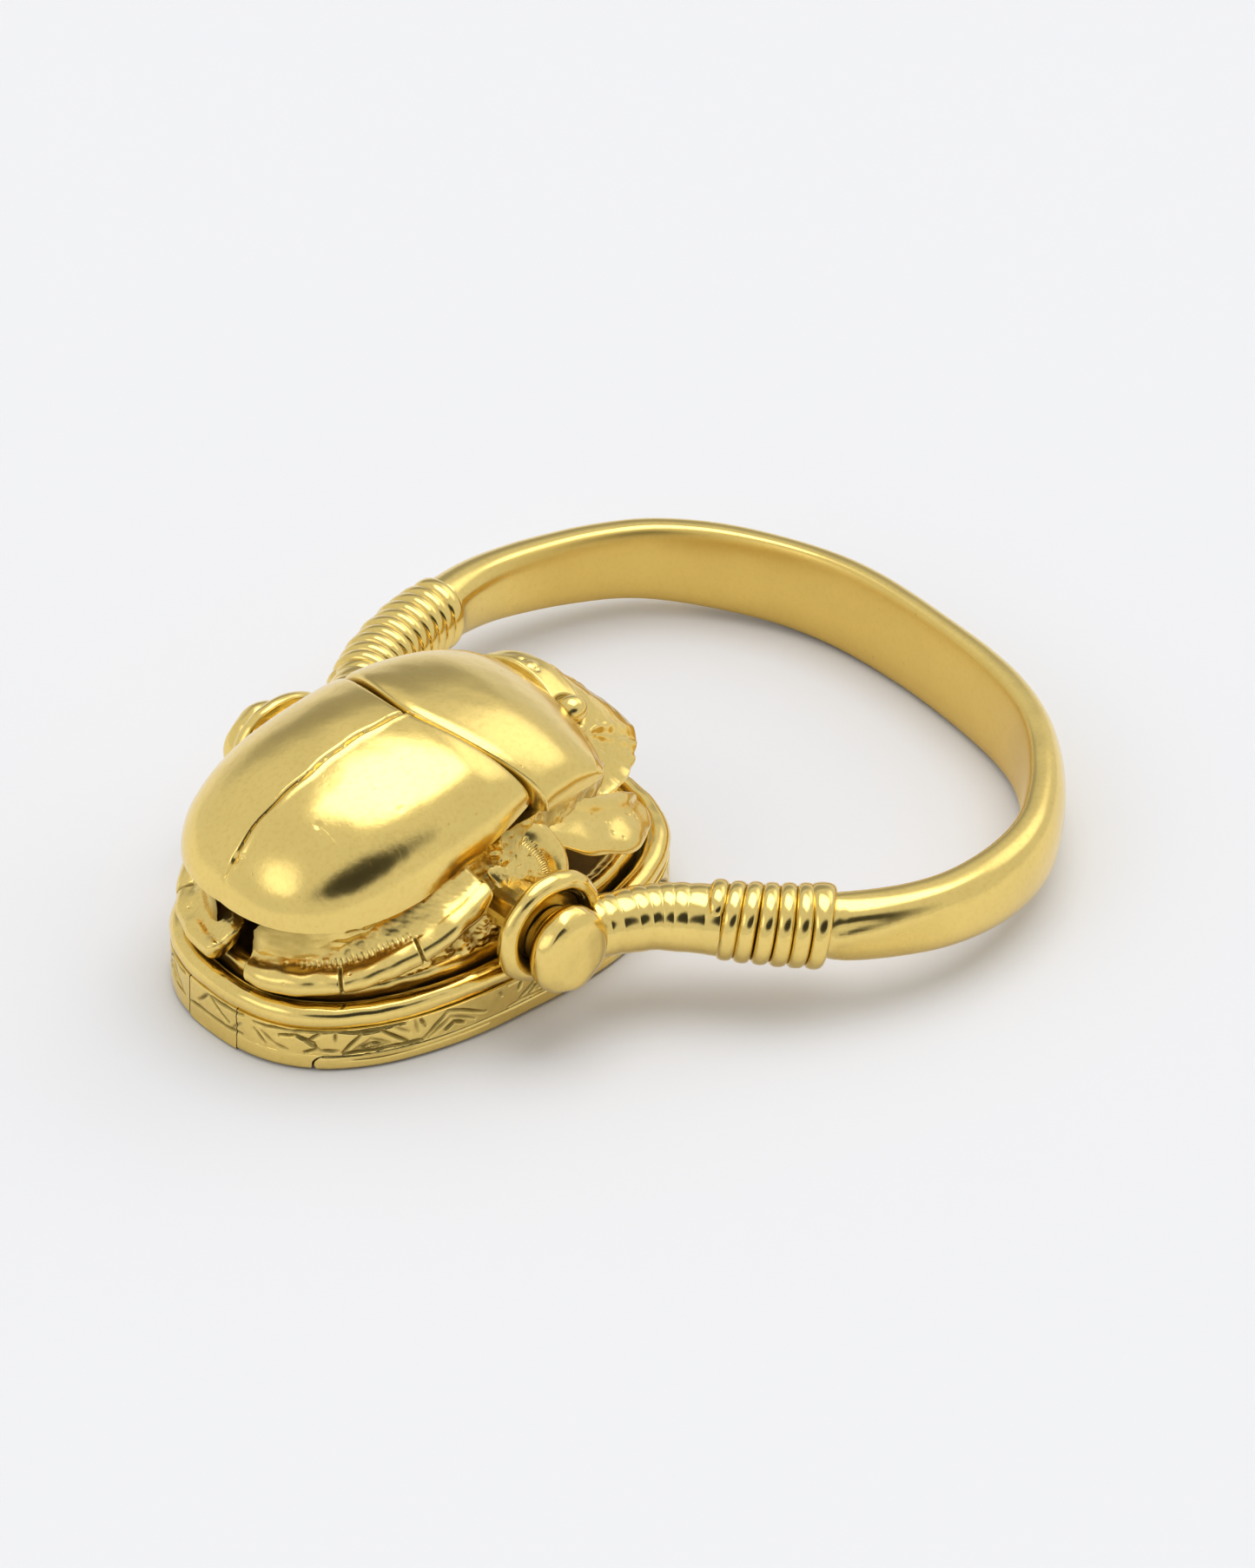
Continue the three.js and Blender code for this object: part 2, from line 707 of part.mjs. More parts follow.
function thoraxRing(share, grow) {
  const rear = thoraxRearX(share) - grow;
  const front = thoraxFrontX(share) + grow;
  const top = thoraxTop(share) + grow;
  const frontTop = thoraxFrontEdge + thoraxFrontRise * dome(share) + thoraxLean * share + grow;
  const low = grow < 0 ? backHollowDrop : grow;
  const rearFoot = thoraxEdge + thoraxLean * share - thoraxSkirt / 2 - low;
  const crown = crownShares.map(([ahead, fall]) => [lerp(rear, front, ahead), lerp(top, frontTop, fall)]);
  const ring = [
    [rear, rearFoot],
    ...crown,
    [front, frontTop - thoraxSkirt / 3 - grow],
    [front - thoraxSkirt / 3, frontTop - thoraxSkirt - grow - low],
  ];
  return ring.map(([x, z]) => {
    const ahead = clamp((x - rear) / (front - rear), 0, 1);
    const y = share * (lerp(thoraxHalfWidth, thoraxFrontHalfWidth, ahead) + grow);
    return new THREE.Vector3(x, y, z);
  });
}

function thorax(grow = 0) {
  const rings = [...Array(thoraxStations + 1).keys()].map((step) => {
    const share = -Math.cos((step / thoraxStations) * Math.PI);
    return thoraxRing(clamp(share, -0.995, 0.995), grow);
  });
  return loft(rings);
}

function backGroove() {
  const stations = [...Array(grooveSteps + 1).keys()].map((step) => {
    const share = lerp(-1.04, 1.04, step / grooveSteps);
    const inner = clamp(share, -0.99, 0.99);
    const past = Math.abs(share) > 1 ? grooveRadius * 3 : 0;
    return new THREE.Vector3(
      thoraxRearX(share), share * thoraxHalfWidth, thoraxTop(inner) + grooveRadius / 3 - past,
    );
  });
  return sweep(stations.map((centre, place) => {
    const before = stations[Math.max(place - 1, 0)];
    const after = stations[Math.min(place + 1, stations.length - 1)];
    const along = after.clone().sub(before).normalize();
    const across = new THREE.Vector3(1, 0, 0).addScaledVector(along, -along.x).normalize();
    const over = along.clone().cross(across);
    return { centre, across, over, section: ellipse(grooveRadius, grooveRadius, grooveSides) };
  }));
}

// The seam between the wing cases: a narrow wedge down the middle of the back.
function suture() {
  const seamShares = wingShares.filter(([along]) => along > 0.02 && along < 0.75);
  return loft(seamShares.map(([along, , , , top]) => {
    const x = backTail + along * backLength;
    const z = backEdge + top * backRise;
    return [
      new THREE.Vector3(x, -sutureWidth / 2, z + sutureDepth / 2),
      new THREE.Vector3(x, sutureWidth / 2, z + sutureDepth / 2),
      new THREE.Vector3(x, 0, z - sutureDepth),
    ];
  }));
}

function scarabBack() {
  const shell = cut(join(wingCases(), thorax()), backGroove(), suture());
  return cut(shell, wingCases(-backWall), thorax(-backWall));
}

// The shield at the front of the head: a ribbed fan with a lobed edge, sloping down from the crown.
function headFan() {
  const steps = fanLobes * fanLobeSteps;
  const rings = [...Array(steps + 1).keys()].map((step) => {
    const share = (step / steps) * 2 - 1;
    const angle = share * fanHalfAngle;
    const lobe = Math.abs(Math.sin((step / fanLobeSteps) * Math.PI));
    const reach = fanReach - fanScallop * (1 - lobe);
    const rise = fanRidge * lobe;
    const at = (distance, z) => new THREE.Vector3(
      headCentreX + distance * Math.cos(angle), (fanHalfSpan / fanReach) * distance * Math.sin(angle), z,
    );
    const out = (distance) => (distance - fanRoot) / (fanReach - fanRoot);
    const fall = (distance) => fanRootZ - fanDrop * out(distance) ** fanFallPower;
    const middle = (fanRoot + reach) / 2;
    return [
      at(fanRoot, fanRootZ - fanThickness),
      at(fanRoot, fanRootZ),
      at(middle, fall(middle) + rise),
      at(reach - fanThickness / 3, fall(reach) + rise),
      at(reach, fall(reach) - fanThickness / 3),
      at(reach - fanThickness / 3, fall(reach) - fanThickness),
      at(middle, fall(middle) - fanThickness),
    ];
  });
  return loft(rings);
}

// A ball, or with a power above two a ball with flattened faces.
function ball(radius, [x, y, z], sides = eyeSides, [a, b, c] = [1, 1, 1], power = 2) {
  const geometry = new THREE.SphereGeometry(1, sides, sides / 2);
  const { position } = geometry.attributes;
  for (let place = 0; place < position.count; place += 1) {
    const point = new THREE.Vector3().fromBufferAttribute(position, place);
    const sum = Math.abs(point.x) ** power + Math.abs(point.y) ** power + Math.abs(point.z) ** power;
    point.multiplyScalar(radius * sum ** (-1 / power));
    position.setXYZ(place, point.x, point.y, point.z);
  }
  geometry.scale(a, b, c);
  geometry.translate(x, y, z);
  return toSolid(geometry);
}

// Where the eyes and the small bead behind the shield lie: shares of the crown's length, half width and height.
const eyeShares = [[0.31, -0.36, 0.82], [0.31, 0.3, 0.84]];
const beadShares = [0.42, -0.7, 0.5];

function headCrown(grow = 0) {
  const size = [crownLength + grow, crownHalfWidth + grow, crownHeight + grow];
  return ball(1, [headCentreX, headShift, crownZ], crownSides, size, crownPower);
}

function scarabHead() {
  const crown = headCrown();
  const onCrown = ([x, y, z]) => [
    headCentreX + x * crownLength, headShift + y * crownHalfWidth, crownZ + z * crownHeight,
  ];
  const eyes = eyeShares.map((place) => ball(eyeRadius, onCrown(place)));
  const bead = ball(eyeRadius / 2, onCrown(beadShares), beadSides);
  const low = block([-overrun, overrun], allY, [-overrun, fanRootZ - fanDrop / 2]);
  return cut(join(cut(crown, low), headFan(), ...eyes, bead), thorax(legGap));
}

// Legs. Each follows a line of [x share of the box's half length, y share of its half width, z, half width,
// half thickness] rows, where the last three are shares of the back's rise. Its broad face leans back by a slant.
// The left rear leg runs one row further round the tail than the right one.
const rearLegShares = [
  [-0.1, -0.74, 1.26, 0.1, 0.07], [-0.18, -0.78, 1.22, 0.17, 0.1], [-0.38, -0.8, 1.06, 0.2, 0.11],
  [-0.56, -0.71, 0.9, 0.21, 0.115], [-0.72, -0.56, 0.79, 0.21, 0.115], [-0.84, -0.36, 0.75, 0.2, 0.11],
  [-0.89, -0.16, 0.73, 0.18, 0.1], [-0.92, -0.02, 0.72, 0.14, 0.09],
];
const middleLegShares = [
  [0.14, -0.58, 1.4, 0.1, 0.09], [0.18, -0.7, 1.27, 0.17, 0.1], [0.2, -0.81, 1.1, 0.2, 0.11],
  [0.16, -0.87, 0.93, 0.19, 0.11], [0.06, -0.88, 0.8, 0.15, 0.1], [-0.08, -0.86, 0.73, 0.1, 0.08],
];
const frontLegShares = [
  [0.32, -0.54, 1.34, 0.12, 0.08], [0.42, -0.6, 1.19, 0.18, 0.08], [0.55, -0.65, 1.02, 0.22, 0.08],
  [0.68, -0.63, 0.88, 0.2, 0.075], [0.79, -0.56, 0.78, 0.13, 0.06], [0.84, -0.5, 0.74, 0.05, 0.04],
];

function leg(rows, side, slant, keepOut) {
  const line = rows.map(([x, y, z]) => new THREE.Vector3(
    x * boxHalfLength, y * boxHalfWidth, z * backRise,
  ));
  const stations = line.map((centre, place) => {
    const before = line[Math.max(place - 1, 0)];
    const after = line[Math.min(place + 1, line.length - 1)];
    const along = after.clone().sub(before).normalize();
    const face = new THREE.Vector3(centre.x / boxHalfLength ** 2, centre.y / boxHalfWidth ** 2, 0).normalize();
    face.multiplyScalar(Math.sin(slant)).setZ(Math.cos(slant));
    const over = face.addScaledVector(along, -face.dot(along)).normalize();
    const across = along.clone().cross(over);
    const [, , , halfWidth, halfThickness] = rows[place];
    const section = ellipse(halfWidth * backRise, halfThickness * backRise, legSides);
    return { centre, across, over, section };
  });
  const limb = sweep(stations);
  return cut(side < 0 ? limb : limb.mirror([0, 1, 0]), ...keepOut);
}

// Assembly

const group = new THREE.Group();
const hoopGroup = new THREE.Group();
hoopGroup.position.set(swivelOffset, 0, hoopStart);
hoopGroup.rotation.y = hoopTilt;
group.add(hoopGroup);

const gold = { color: 0xd9b04f, roughness: 0.2, metalness: 1 };
const satinGold = { color: 0xd2a94a, roughness: 0.38, metalness: 1 };
const agedGold = { color: 0xb98a35, roughness: 0.45, metalness: 1 };

function add(name, solid, look, parent = group) {
  const mesh = new THREE.Mesh(toGeometry(solid), new THREE.MeshStandardMaterial(look));
  mesh.name = name;
  parent.add(mesh);
}

add('bezel_wall', bezelWall(), gold);
add('tail_block', tailBlock(), gold);
add('base_plate', ovalPlate(wallThickness + seatGap, plateBottom, wallTop), agedGold);
add('bead_moulding', beadMoulding(), gold);
add('heel_plate', heelPlate(), gold);
add('lid_plate', lidPlate(), gold);
add('lid_rim', lidRim(), gold);
add('lid_snap_ring', snapRing(), satinGold);
add('lid_hinge_pin', hingeBar(hingePinRadius, [-hingeHalfSpan, hingeHalfSpan], hingePinSides), gold);
add('body_skirt', bodySkirt(), agedGold);
add('pin_tube', pinTube(), agedGold);
add('swivel_pin', swivelPin(), satinGold);
add('scarab_back', scarabBack(), gold);
add('scarab_head', scarabHead(), gold);

const keepOut = [
  wingCases(legGap),
  thorax(legGap),
  bodySkirt(legGap),
  headCrown(legGap),
  barAlongY(pinTubeRadius + legGap, allY, swivelAxis, pinTubeSides),
];
const sides = [
  { sideName: 'right', side: -1, turns: rightTurns, ridges: rightRidges },
  { sideName: 'left', side: 1, turns: leftTurns, ridges: leftRidges },
];
for (const { sideName, side, turns, ridges } of sides) {
  add(`${sideName}_tube_saddle`, tubeSaddle(side), agedGold);
  add(`${sideName}_terminal_cup`, terminalCup(side), gold);
  add(`${sideName}_rivet_head`, rivetHead(side), gold);
  add(`${sideName}_wire_winding`, winding(side, turns), gold, hoopGroup);
  add(`${sideName}_fine_binding`, binding(side, turns, ridges), gold, hoopGroup);
  const rearRows = side < 0 ? rearLegShares.slice(0, -1) : rearLegShares;
  add(`${sideName}_rear_leg`, leg(rearRows, side, rearLegSlant, keepOut), gold);
  add(`${sideName}_middle_leg`, leg(middleLegShares, side, middleLegSlant, keepOut), gold);
  add(`${sideName}_front_leg`, leg(frontLegShares, side, frontLegSlant, keepOut), gold);
  console.log(`${sideName} winding, least gap to itself: ${leastGap(side, turns).toFixed(3)} mm`);
}
add('hoop', hoop(), satinGold, hoopGroup);

export default group;
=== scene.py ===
"""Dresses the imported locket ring: gold finishes, fine forms that the solids leave plain, floor, light, camera.

Shapes are worked out in millimetres in the part's own frame and turned into metres when a mesh is made.
"""
import math

import bmesh
import bpy
import numpy as np
from mathutils import Matrix, Vector


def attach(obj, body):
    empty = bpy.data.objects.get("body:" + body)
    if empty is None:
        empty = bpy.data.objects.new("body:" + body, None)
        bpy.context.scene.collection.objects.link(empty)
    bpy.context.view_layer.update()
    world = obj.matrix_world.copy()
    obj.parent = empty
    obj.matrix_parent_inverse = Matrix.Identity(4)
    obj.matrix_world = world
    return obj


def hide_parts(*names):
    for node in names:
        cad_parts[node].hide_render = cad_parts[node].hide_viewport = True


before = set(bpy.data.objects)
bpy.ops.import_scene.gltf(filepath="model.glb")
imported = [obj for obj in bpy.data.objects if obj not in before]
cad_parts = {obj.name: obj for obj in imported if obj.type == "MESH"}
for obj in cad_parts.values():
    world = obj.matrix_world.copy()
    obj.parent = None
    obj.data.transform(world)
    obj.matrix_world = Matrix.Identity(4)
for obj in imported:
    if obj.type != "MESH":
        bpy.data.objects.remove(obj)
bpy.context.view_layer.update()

MM = 0.001
TURN = 2 * math.pi

# The oval box, as in the solids. Lengths are in millimetres.
BOX_HALF_LENGTH = 7.46
BOX_HALF_WIDTH = 4.85
OVAL_POWER = 2.49
SEAT_GAP = 0.05
LID_HEIGHT = 0.46
LID_RIM_WIDTH = 0.5
WALL_BOTTOM = LID_HEIGHT + SEAT_GAP
WALL_HEIGHT = 0.86
WALL_TOP = WALL_BOTTOM + WALL_HEIGHT
WALL_THICKNESS = 0.45
WALL_LENGTH = 40.61
BEAD_BOTTOM = WALL_TOP + SEAT_GAP
BEAD_RADIUS = 0.34
BEAD_SINK = 0.22
BLOCK_HALF_WIDTH = 1.0
BLOCK_DEPTH = 0.3
HINGE_FROM_TAIL = 1.31
HINGE_X = HINGE_FROM_TAIL - BOX_HALF_LENGTH
HINGE_Z = LID_HEIGHT / 2
SKIRT_GAP = 0.12
SKIRT_INSET = 2 * BEAD_RADIUS + SKIRT_GAP
SKIRT_HEIGHT = 0.8
SKIRT_WIDTH = 0.75

# The engraving
GRAVER_DEPTH = 0.07
GRAVER_WIDTH = 0.075
ENGRAVING_GRID = 0.024

# Swivel
SWIVEL_X = -0.3
SWIVEL_Z = 3.35
CUP_FACE = 5.72
CUP_BACK = 5.1
CUP_RADIUS = 1.73
CUP_LIP = 0.34
CUP_SHIFT = 0.16
RIVET_RADIUS = 1.24
HAMMER_BLOWS = 13

# Hoop and its windings
HOOP_REACH = 18.56
HOOP_HALF_SPAN = 10
HOOP_DROP = 0.5
HOOP_WIDTH = 2.84
HOOP_THICKNESS = 1.14
SHOULDER_WIDTH = 1.9
SHOULDER_THICKNESS = 1.66

# The arms: their radius at the shoulder, the shoulder's distance from the hoop's end, and the turns of wire
ARM_RADIUS = {"right": 0.82, "left": 0.68}
SHOULDER = {"right": 7.15, "left": 8.25}
TURNS = {"right": 6.5, "left": 10}
NECK_RADIUS = 0.58
WIRE_PITCH = 0.475
WIRE_RADIUS = 0.243
WIRE_REACH = 0.4
BINDING_TURNS = 9

# Scarab
BACK_TAIL = -7.1
BACK_LENGTH = 9.2
BACK_HALF_WIDTH = 3.85
BACK_EDGE = 4.0
BACK_RISE = 3.72
WING_POWER = 2.2
SHELL_WALL = 0.5
THORAX_START = -0.47
THORAX_LENGTH = 5.42
THORAX_SWEEP = 1.25
THORAX_FRONT_SWEEP = 0.85
THORAX_SKEW = 0.6
THORAX_HALF_WIDTH = 3.68
THORAX_FRONT_HALF_WIDTH = 3.2
THORAX_EDGE = 5.3
THORAX_RISE = 2.33
THORAX_LEAN = 0.35
THORAX_FRONT_EDGE = 5.15
THORAX_FRONT_RISE = 0.3
HEAD_X = 4.4
HEAD_Y = 0.3
BROW_Y = 1.9
BROW_Z = 5.9
CROWN_RIM_Z = 4.3
FAN_RIM_Z = 3.7
EYE = np.array([5.07, -0.4, 5.34])

# Where the head's strokes start on the right, in x and y. On the left they are mirrored.
FAN_FOCUS = (5.1, -0.85)

# Half sizes of the head's outlines ahead and to the right, and how much more they have on the left
BORDER_SIZES = (1.28, 1.3, 1.1)
FAN_SIZES = (3.1, 2.3, 0.3)
CROWN_SIZES = (1.6, 2.45, 0.35)

# Strokes that fan out over the head, and notches in its rim: [angle, height, width]
FAN_RIBS = [
    (0.2, 0.8, 0.08), (0.08, -0.4, 0.05), (-0.02, 0.6, 0.06), (-0.14, -0.5, 0.08), (-0.42, -0.5, 0.1),
    (-1, -0.25, 0.14),
]
FAN_NOTCHES = [(-0.12, 0.8, 0.07), (-0.42, 0.7, 0.1), (-1.0, 0.4, 0.14)]

# Rings under the head: [share of its outline, depth below its rim]
HEAD_UNDERSIDE = [(1.003, 0.05), (1.0, 0.12), (0.985, 0.2), (0.95, 0.26), (0.88, 0.29), (0.5, 0.32), (0.02, 0.33)]

# Right eye, left eye and the bead beside the right one: [centre, half sizes]
EYES = [(EYE, [0.45, 0.42, 0.4]), ([5.0, 1.3, 5.84], [0.3, 0.28, 0.2]), ([5.0, -0.8, 4.9], [0.2, 0.19, 0.19])]

# Dents: [x, y, z, radius, depth]
WING_DENTS = [
    (-6.62, -0.1, 5.55, 0.12, 0.1), (-6.5, -0.25, 5.62, 0.09, 0.06), (-4.9, -1.5, 6.65, 0.07, 0.03),
    (-2.9, -2.6, 6.9, 0.06, 0.025), (-2.7, -2.45, 6.95, 0.05, 0.025),
]
THORAX_DENTS = [
    (2.9, -2.2, 6.3, 0.1, 0.03), (1.6, -2.7, 6.6, 0.07, 0.03), (0.9, -1.4, 7.3, 0.05, 0.02),
    (4.3, 1.0, 5.8, 0.12, 0.08),
]
HEAD_DENTS = [(4.95, 1.6, 6.0, 0.07, 0.05), (5.0, 1.0, 5.95, 0.07, 0.035), (5.95, -0.1, 5.2, 0.07, 0.03)]

# The photograph's view: degrees round from the front and above the table, and millimetres from the origin
CAMERA_AZIMUTH = -40
CAMERA_ELEVATION = 36.5
CAMERA_DISTANCE = 288
CAMERA_LENS = 239.4
CAMERA_SHIFT = (0.1314, 0.0926)


# ---- forms ----

def signed_power(value, power):
    return np.sign(value) * np.abs(value) ** power


def bell(value, middle, width):
    """1 at the middle, and less and less away from it."""
    return np.exp(-(((value - middle) / width) ** 2))


def unit(ways):
    """Directions of length 1."""
    return ways / np.maximum(np.linalg.norm(ways, axis=-1, keepdims=True), 1e-9)


def spots(x, y, z):
    """Points from coordinates that are spread to one shape."""
    return np.stack(np.broadcast_arrays(x, y, z), axis=-1)


def around(count):
    """Angles once round."""
    return np.linspace(0, TURN, count, endpoint=False)


def stretch(t, start, first, end, last):
    """A smooth stretch from start to end, with first and last as the slopes there."""
    return (
        (2 * t**3 - 3 * t**2 + 1) * start + (t**3 - 2 * t**2 + t) * first
        + (3 * t**2 - 2 * t**3) * end + (t**3 - t**2) * last
    )


def ramp(value, start, end):
    share = np.clip((value - start) / (end - start), 0, 1)
    return share * share * (3 - 2 * share)


def through(rows, places):
    """A smooth line through rows of numbers. The places run from 0, the first row, to 1, the last."""
    rows = np.asarray(rows, float)
    steps = np.linalg.norm(np.diff(rows, axis=0), axis=1) ** 0.5
    knots = np.concatenate([[0], np.cumsum(steps)])
    knots /= knots[-1]
    slopes = np.gradient(rows, knots, axis=0)
    at = np.clip(np.searchsorted(knots, places, side="right") - 1, 0, len(knots) - 2)
    width = (knots[at + 1] - knots[at])[:, None]
    t = (places - knots[at])[:, None] / width
    return stretch(t, rows[at], width * slopes[at], rows[at + 1], width * slopes[at + 1])


def softened(corners, radius, steps=4):
    """A closed polygon whose corners are rounded off, over less than half of each side."""
    corners = np.asarray(corners, float)
    line = []
    for before, corner, after in zip(np.roll(corners, 1, axis=0), corners, np.roll(corners, -1, axis=0)):
        back, ahead = before - corner, after - corner
        start = corner + back * min(radius / np.linalg.norm(back), 0.45)
        end = corner + ahead * min(radius / np.linalg.norm(ahead), 0.45)
        for step in range(steps + 1):
            t = step / steps
            line.append((1 - t) ** 2 * start + 2 * t * (1 - t) * corner + t * t * end)
    return np.array(line)


def filled(line, spacing):
    """A closed polygon with more points on its long sides."""
    out = []
    for place, start in enumerate(line):
        end = line[(place + 1) % len(line)]
        count = max(1, math.ceil(np.linalg.norm(end - start) / spacing))
        out += [start + (end - start) * step / count for step in range(count)]
    return np.array(out)


def oval(angle, inset):
    """Points of the box's outline, moved in by inset. Angle 0 is the head end, half a turn is the tail."""
    x = (BOX_HALF_LENGTH - inset) * signed_power(np.cos(angle), 2 / OVAL_POWER)
    y = (BOX_HALF_WIDTH - inset) * signed_power(np.sin(angle), 2 / OVAL_POWER)
    return x, y


def round_oval(angles, profile):
    """Rings that carry an [inset, z] profile round the oval. Its points can have angles of their own."""
    angles = angles if angles.ndim == 2 else angles[:, None]
    return spots(*oval(angles, profile[None, :, 0]), profile[None, :, 1])


def normals_of(rings, loop):
    """Directions out of a tube of rings, whose sides always close."""
    along = np.roll(rings, -1, axis=0) - np.roll(rings, 1, axis=0) if loop else np.gradient(rings, axis=0)
    out = unit(np.cross(along, np.roll(rings, -1, axis=1) - np.roll(rings, 1, axis=1)))
    middle = rings.mean(axis=1, keepdims=True)
    return out if ((rings - middle) * out).sum() > 0 else -out


def ripple(points, wavelength, seed):
    """Smooth unevenness between about -1 and 1, from a few waves that run every way."""
    count = 9
    rng = np.random.default_rng(seed)
    ways = rng.normal(size=(count, 3))
    ways *= (TURN / wavelength) * rng.uniform(0.6, 1.5, (count, 1)) / np.linalg.norm(ways, axis=1, keepdims=True)
    return np.sin(points @ ways.T + rng.uniform(0, TURN, count)).sum(axis=-1) / math.sqrt(count)


def uneven(points, normals, *waves):
    """Points moved out and in by ripples of [height, wavelength, seed]."""
    return points + normals * sum(high * ripple(points, wave, seed) for high, wave, seed in waves)[..., None]


def dented(points, normals, dents):
    """Small round dents where the surface passes near. Each dent is [x, y, z, radius, depth]."""
    for *place, radius, depth in dents:
        away = ((points - place) ** 2).sum(axis=-1) / radius**2
        points = points - normals * (depth * np.exp(-away))[..., None]
    return points


def shell(rings, loop=False):
    """Points and faces of a closed body through rings of points. Open ends get a flat face each."""
    count, sides = rings.shape[:2]
    ring = np.arange(count if loop else count - 1)[:, None]
    side = np.arange(sides)[None, :]
    after, turn = (ring + 1) % count, (side + 1) % sides
    quads = np.stack([
        ring * sides + side, ring * sides + turn, after * sides + turn, after * sides + side,
    ], axis=-1).reshape(-1, 4)
    faces = quads.tolist()
    if not loop:
        faces.append(list(range(sides))[::-1])
        faces.append(list(range((count - 1) * sides, count * sides)))
    return rings.reshape(-1, 3), faces


def piece(name, shells, body, finish, crease=38, marks=None):
    """One mesh object from closed bodies, on a body of the part, in place of the CAD node of its name.

    Faces that meet at more than crease degrees keep a sharp edge. Marks are values on its points for its finish.
    """
    points, faces, first = [], [], 0
    for own_points, own_faces in shells:
        points.append(own_points)
        faces += [[corner + first for corner in face] for face in own_faces]
        first += len(own_points)
    mesh = bpy.data.meshes.new(name)
    mesh.from_pydata((np.concatenate(points) * MM).tolist(), [], faces)
    skin = bmesh.new()
    skin.from_mesh(mesh)
    bmesh.ops.recalc_face_normals(skin, faces=skin.faces)
    skin.to_mesh(mesh)
    skin.free()
    for mark, values in (marks or {}).items():
        layer = mesh.attributes.new(mark, "FLOAT", "POINT")
        layer.data.foreach_set("value", np.asarray(values, np.float32).ravel())
    mesh.shade_smooth()
    mesh.set_sharp_from_angle(angle=math.radians(crease))
    mesh.materials.append(finish)
    made = bpy.data.objects.new(name, mesh)
    bpy.context.collection.objects.link(made)
    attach(made, body)
    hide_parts(name)


# ---- finishes ----

class Wire:
    """A socket of a finish. Sums on it add Math nodes."""

    def __init__(self, finish, socket):
        self.finish = finish
        self.socket = socket

    def maths(self, operation, first, second):
        return self.finish.add("ShaderNodeMath", {"operation": operation}, {0: first, 1: second})

    def __add__(self, other):
        return self.maths("ADD", self, other)

    def __radd__(self, other):
        return self.maths("ADD", other, self)

    def __sub__(self, other):
        return self.maths("SUBTRACT", self, other)

    def __rsub__(self, other):
        return self.maths("SUBTRACT", other, self)

    def __mul__(self, other):
        return self.maths("MULTIPLY", self, other)

    def __rmul__(self, other):
        return self.maths("MULTIPLY", other, self)


class Finish:
    """A node tree that is built up by expressions."""

    def __init__(self, tree):
        self.tree = tree
        tree.nodes.clear()

    def add(self, kind, settings=None, sockets=None, out=0):
        """Adds a node of a kind. Settings come first, then the values or wires of its sockets."""
        node = self.tree.nodes.new(kind)
        for key, value in (settings or {}).items():
            if key == "stops":
                for stop, (place, colour) in enumerate(value):
                    if stop > 1:
                        node.color_ramp.elements.new(place)
                    node.color_ramp.elements[stop].position = place
                    node.color_ramp.elements[stop].color = colour
            else:
                setattr(node, key, value)
        for key, value in (sockets or {}).items():
            if isinstance(value, Wire):
                self.tree.links.new(value.socket, node.inputs[key])
            else:
                node.inputs[key].default_value = value
        return Wire(self, node.outputs[out])

    def between(self, low, high, value):
        """0 below low, 1 above high and smooth between them."""
        return self.add(
            "ShaderNodeMapRange", {"interpolation_type": "SMOOTHSTEP"},
            {"Value": value, "From Min": low, "From Max": high},
        )

    def blend(self, share, first, second):
        """A colour between two colours."""
        return self.add("ShaderNodeMix", {"data_type": "RGBA"}, {0: share, 6: first, 7: second}, out=2)

    def noise(self, place, scale, detail=3.0, roughness=0.55):
        sockets = {"Vector": place, "Scale": scale, "Detail": detail, "Roughness": roughness}
        return self.add("ShaderNodeTexNoise", None, sockets)

    def stretched(self, place, turn, size):
        """Coordinates turned and stretched, for marks that run one way."""
        return self.add("ShaderNodeMapping", None, {"Vector": place, "Rotation": turn, "Scale": size})

    def end(self, kind, surface):
        """Closes the tree with its output node."""
        self.tree.links.new(surface.socket, self.tree.nodes.new(kind).inputs["Surface"])


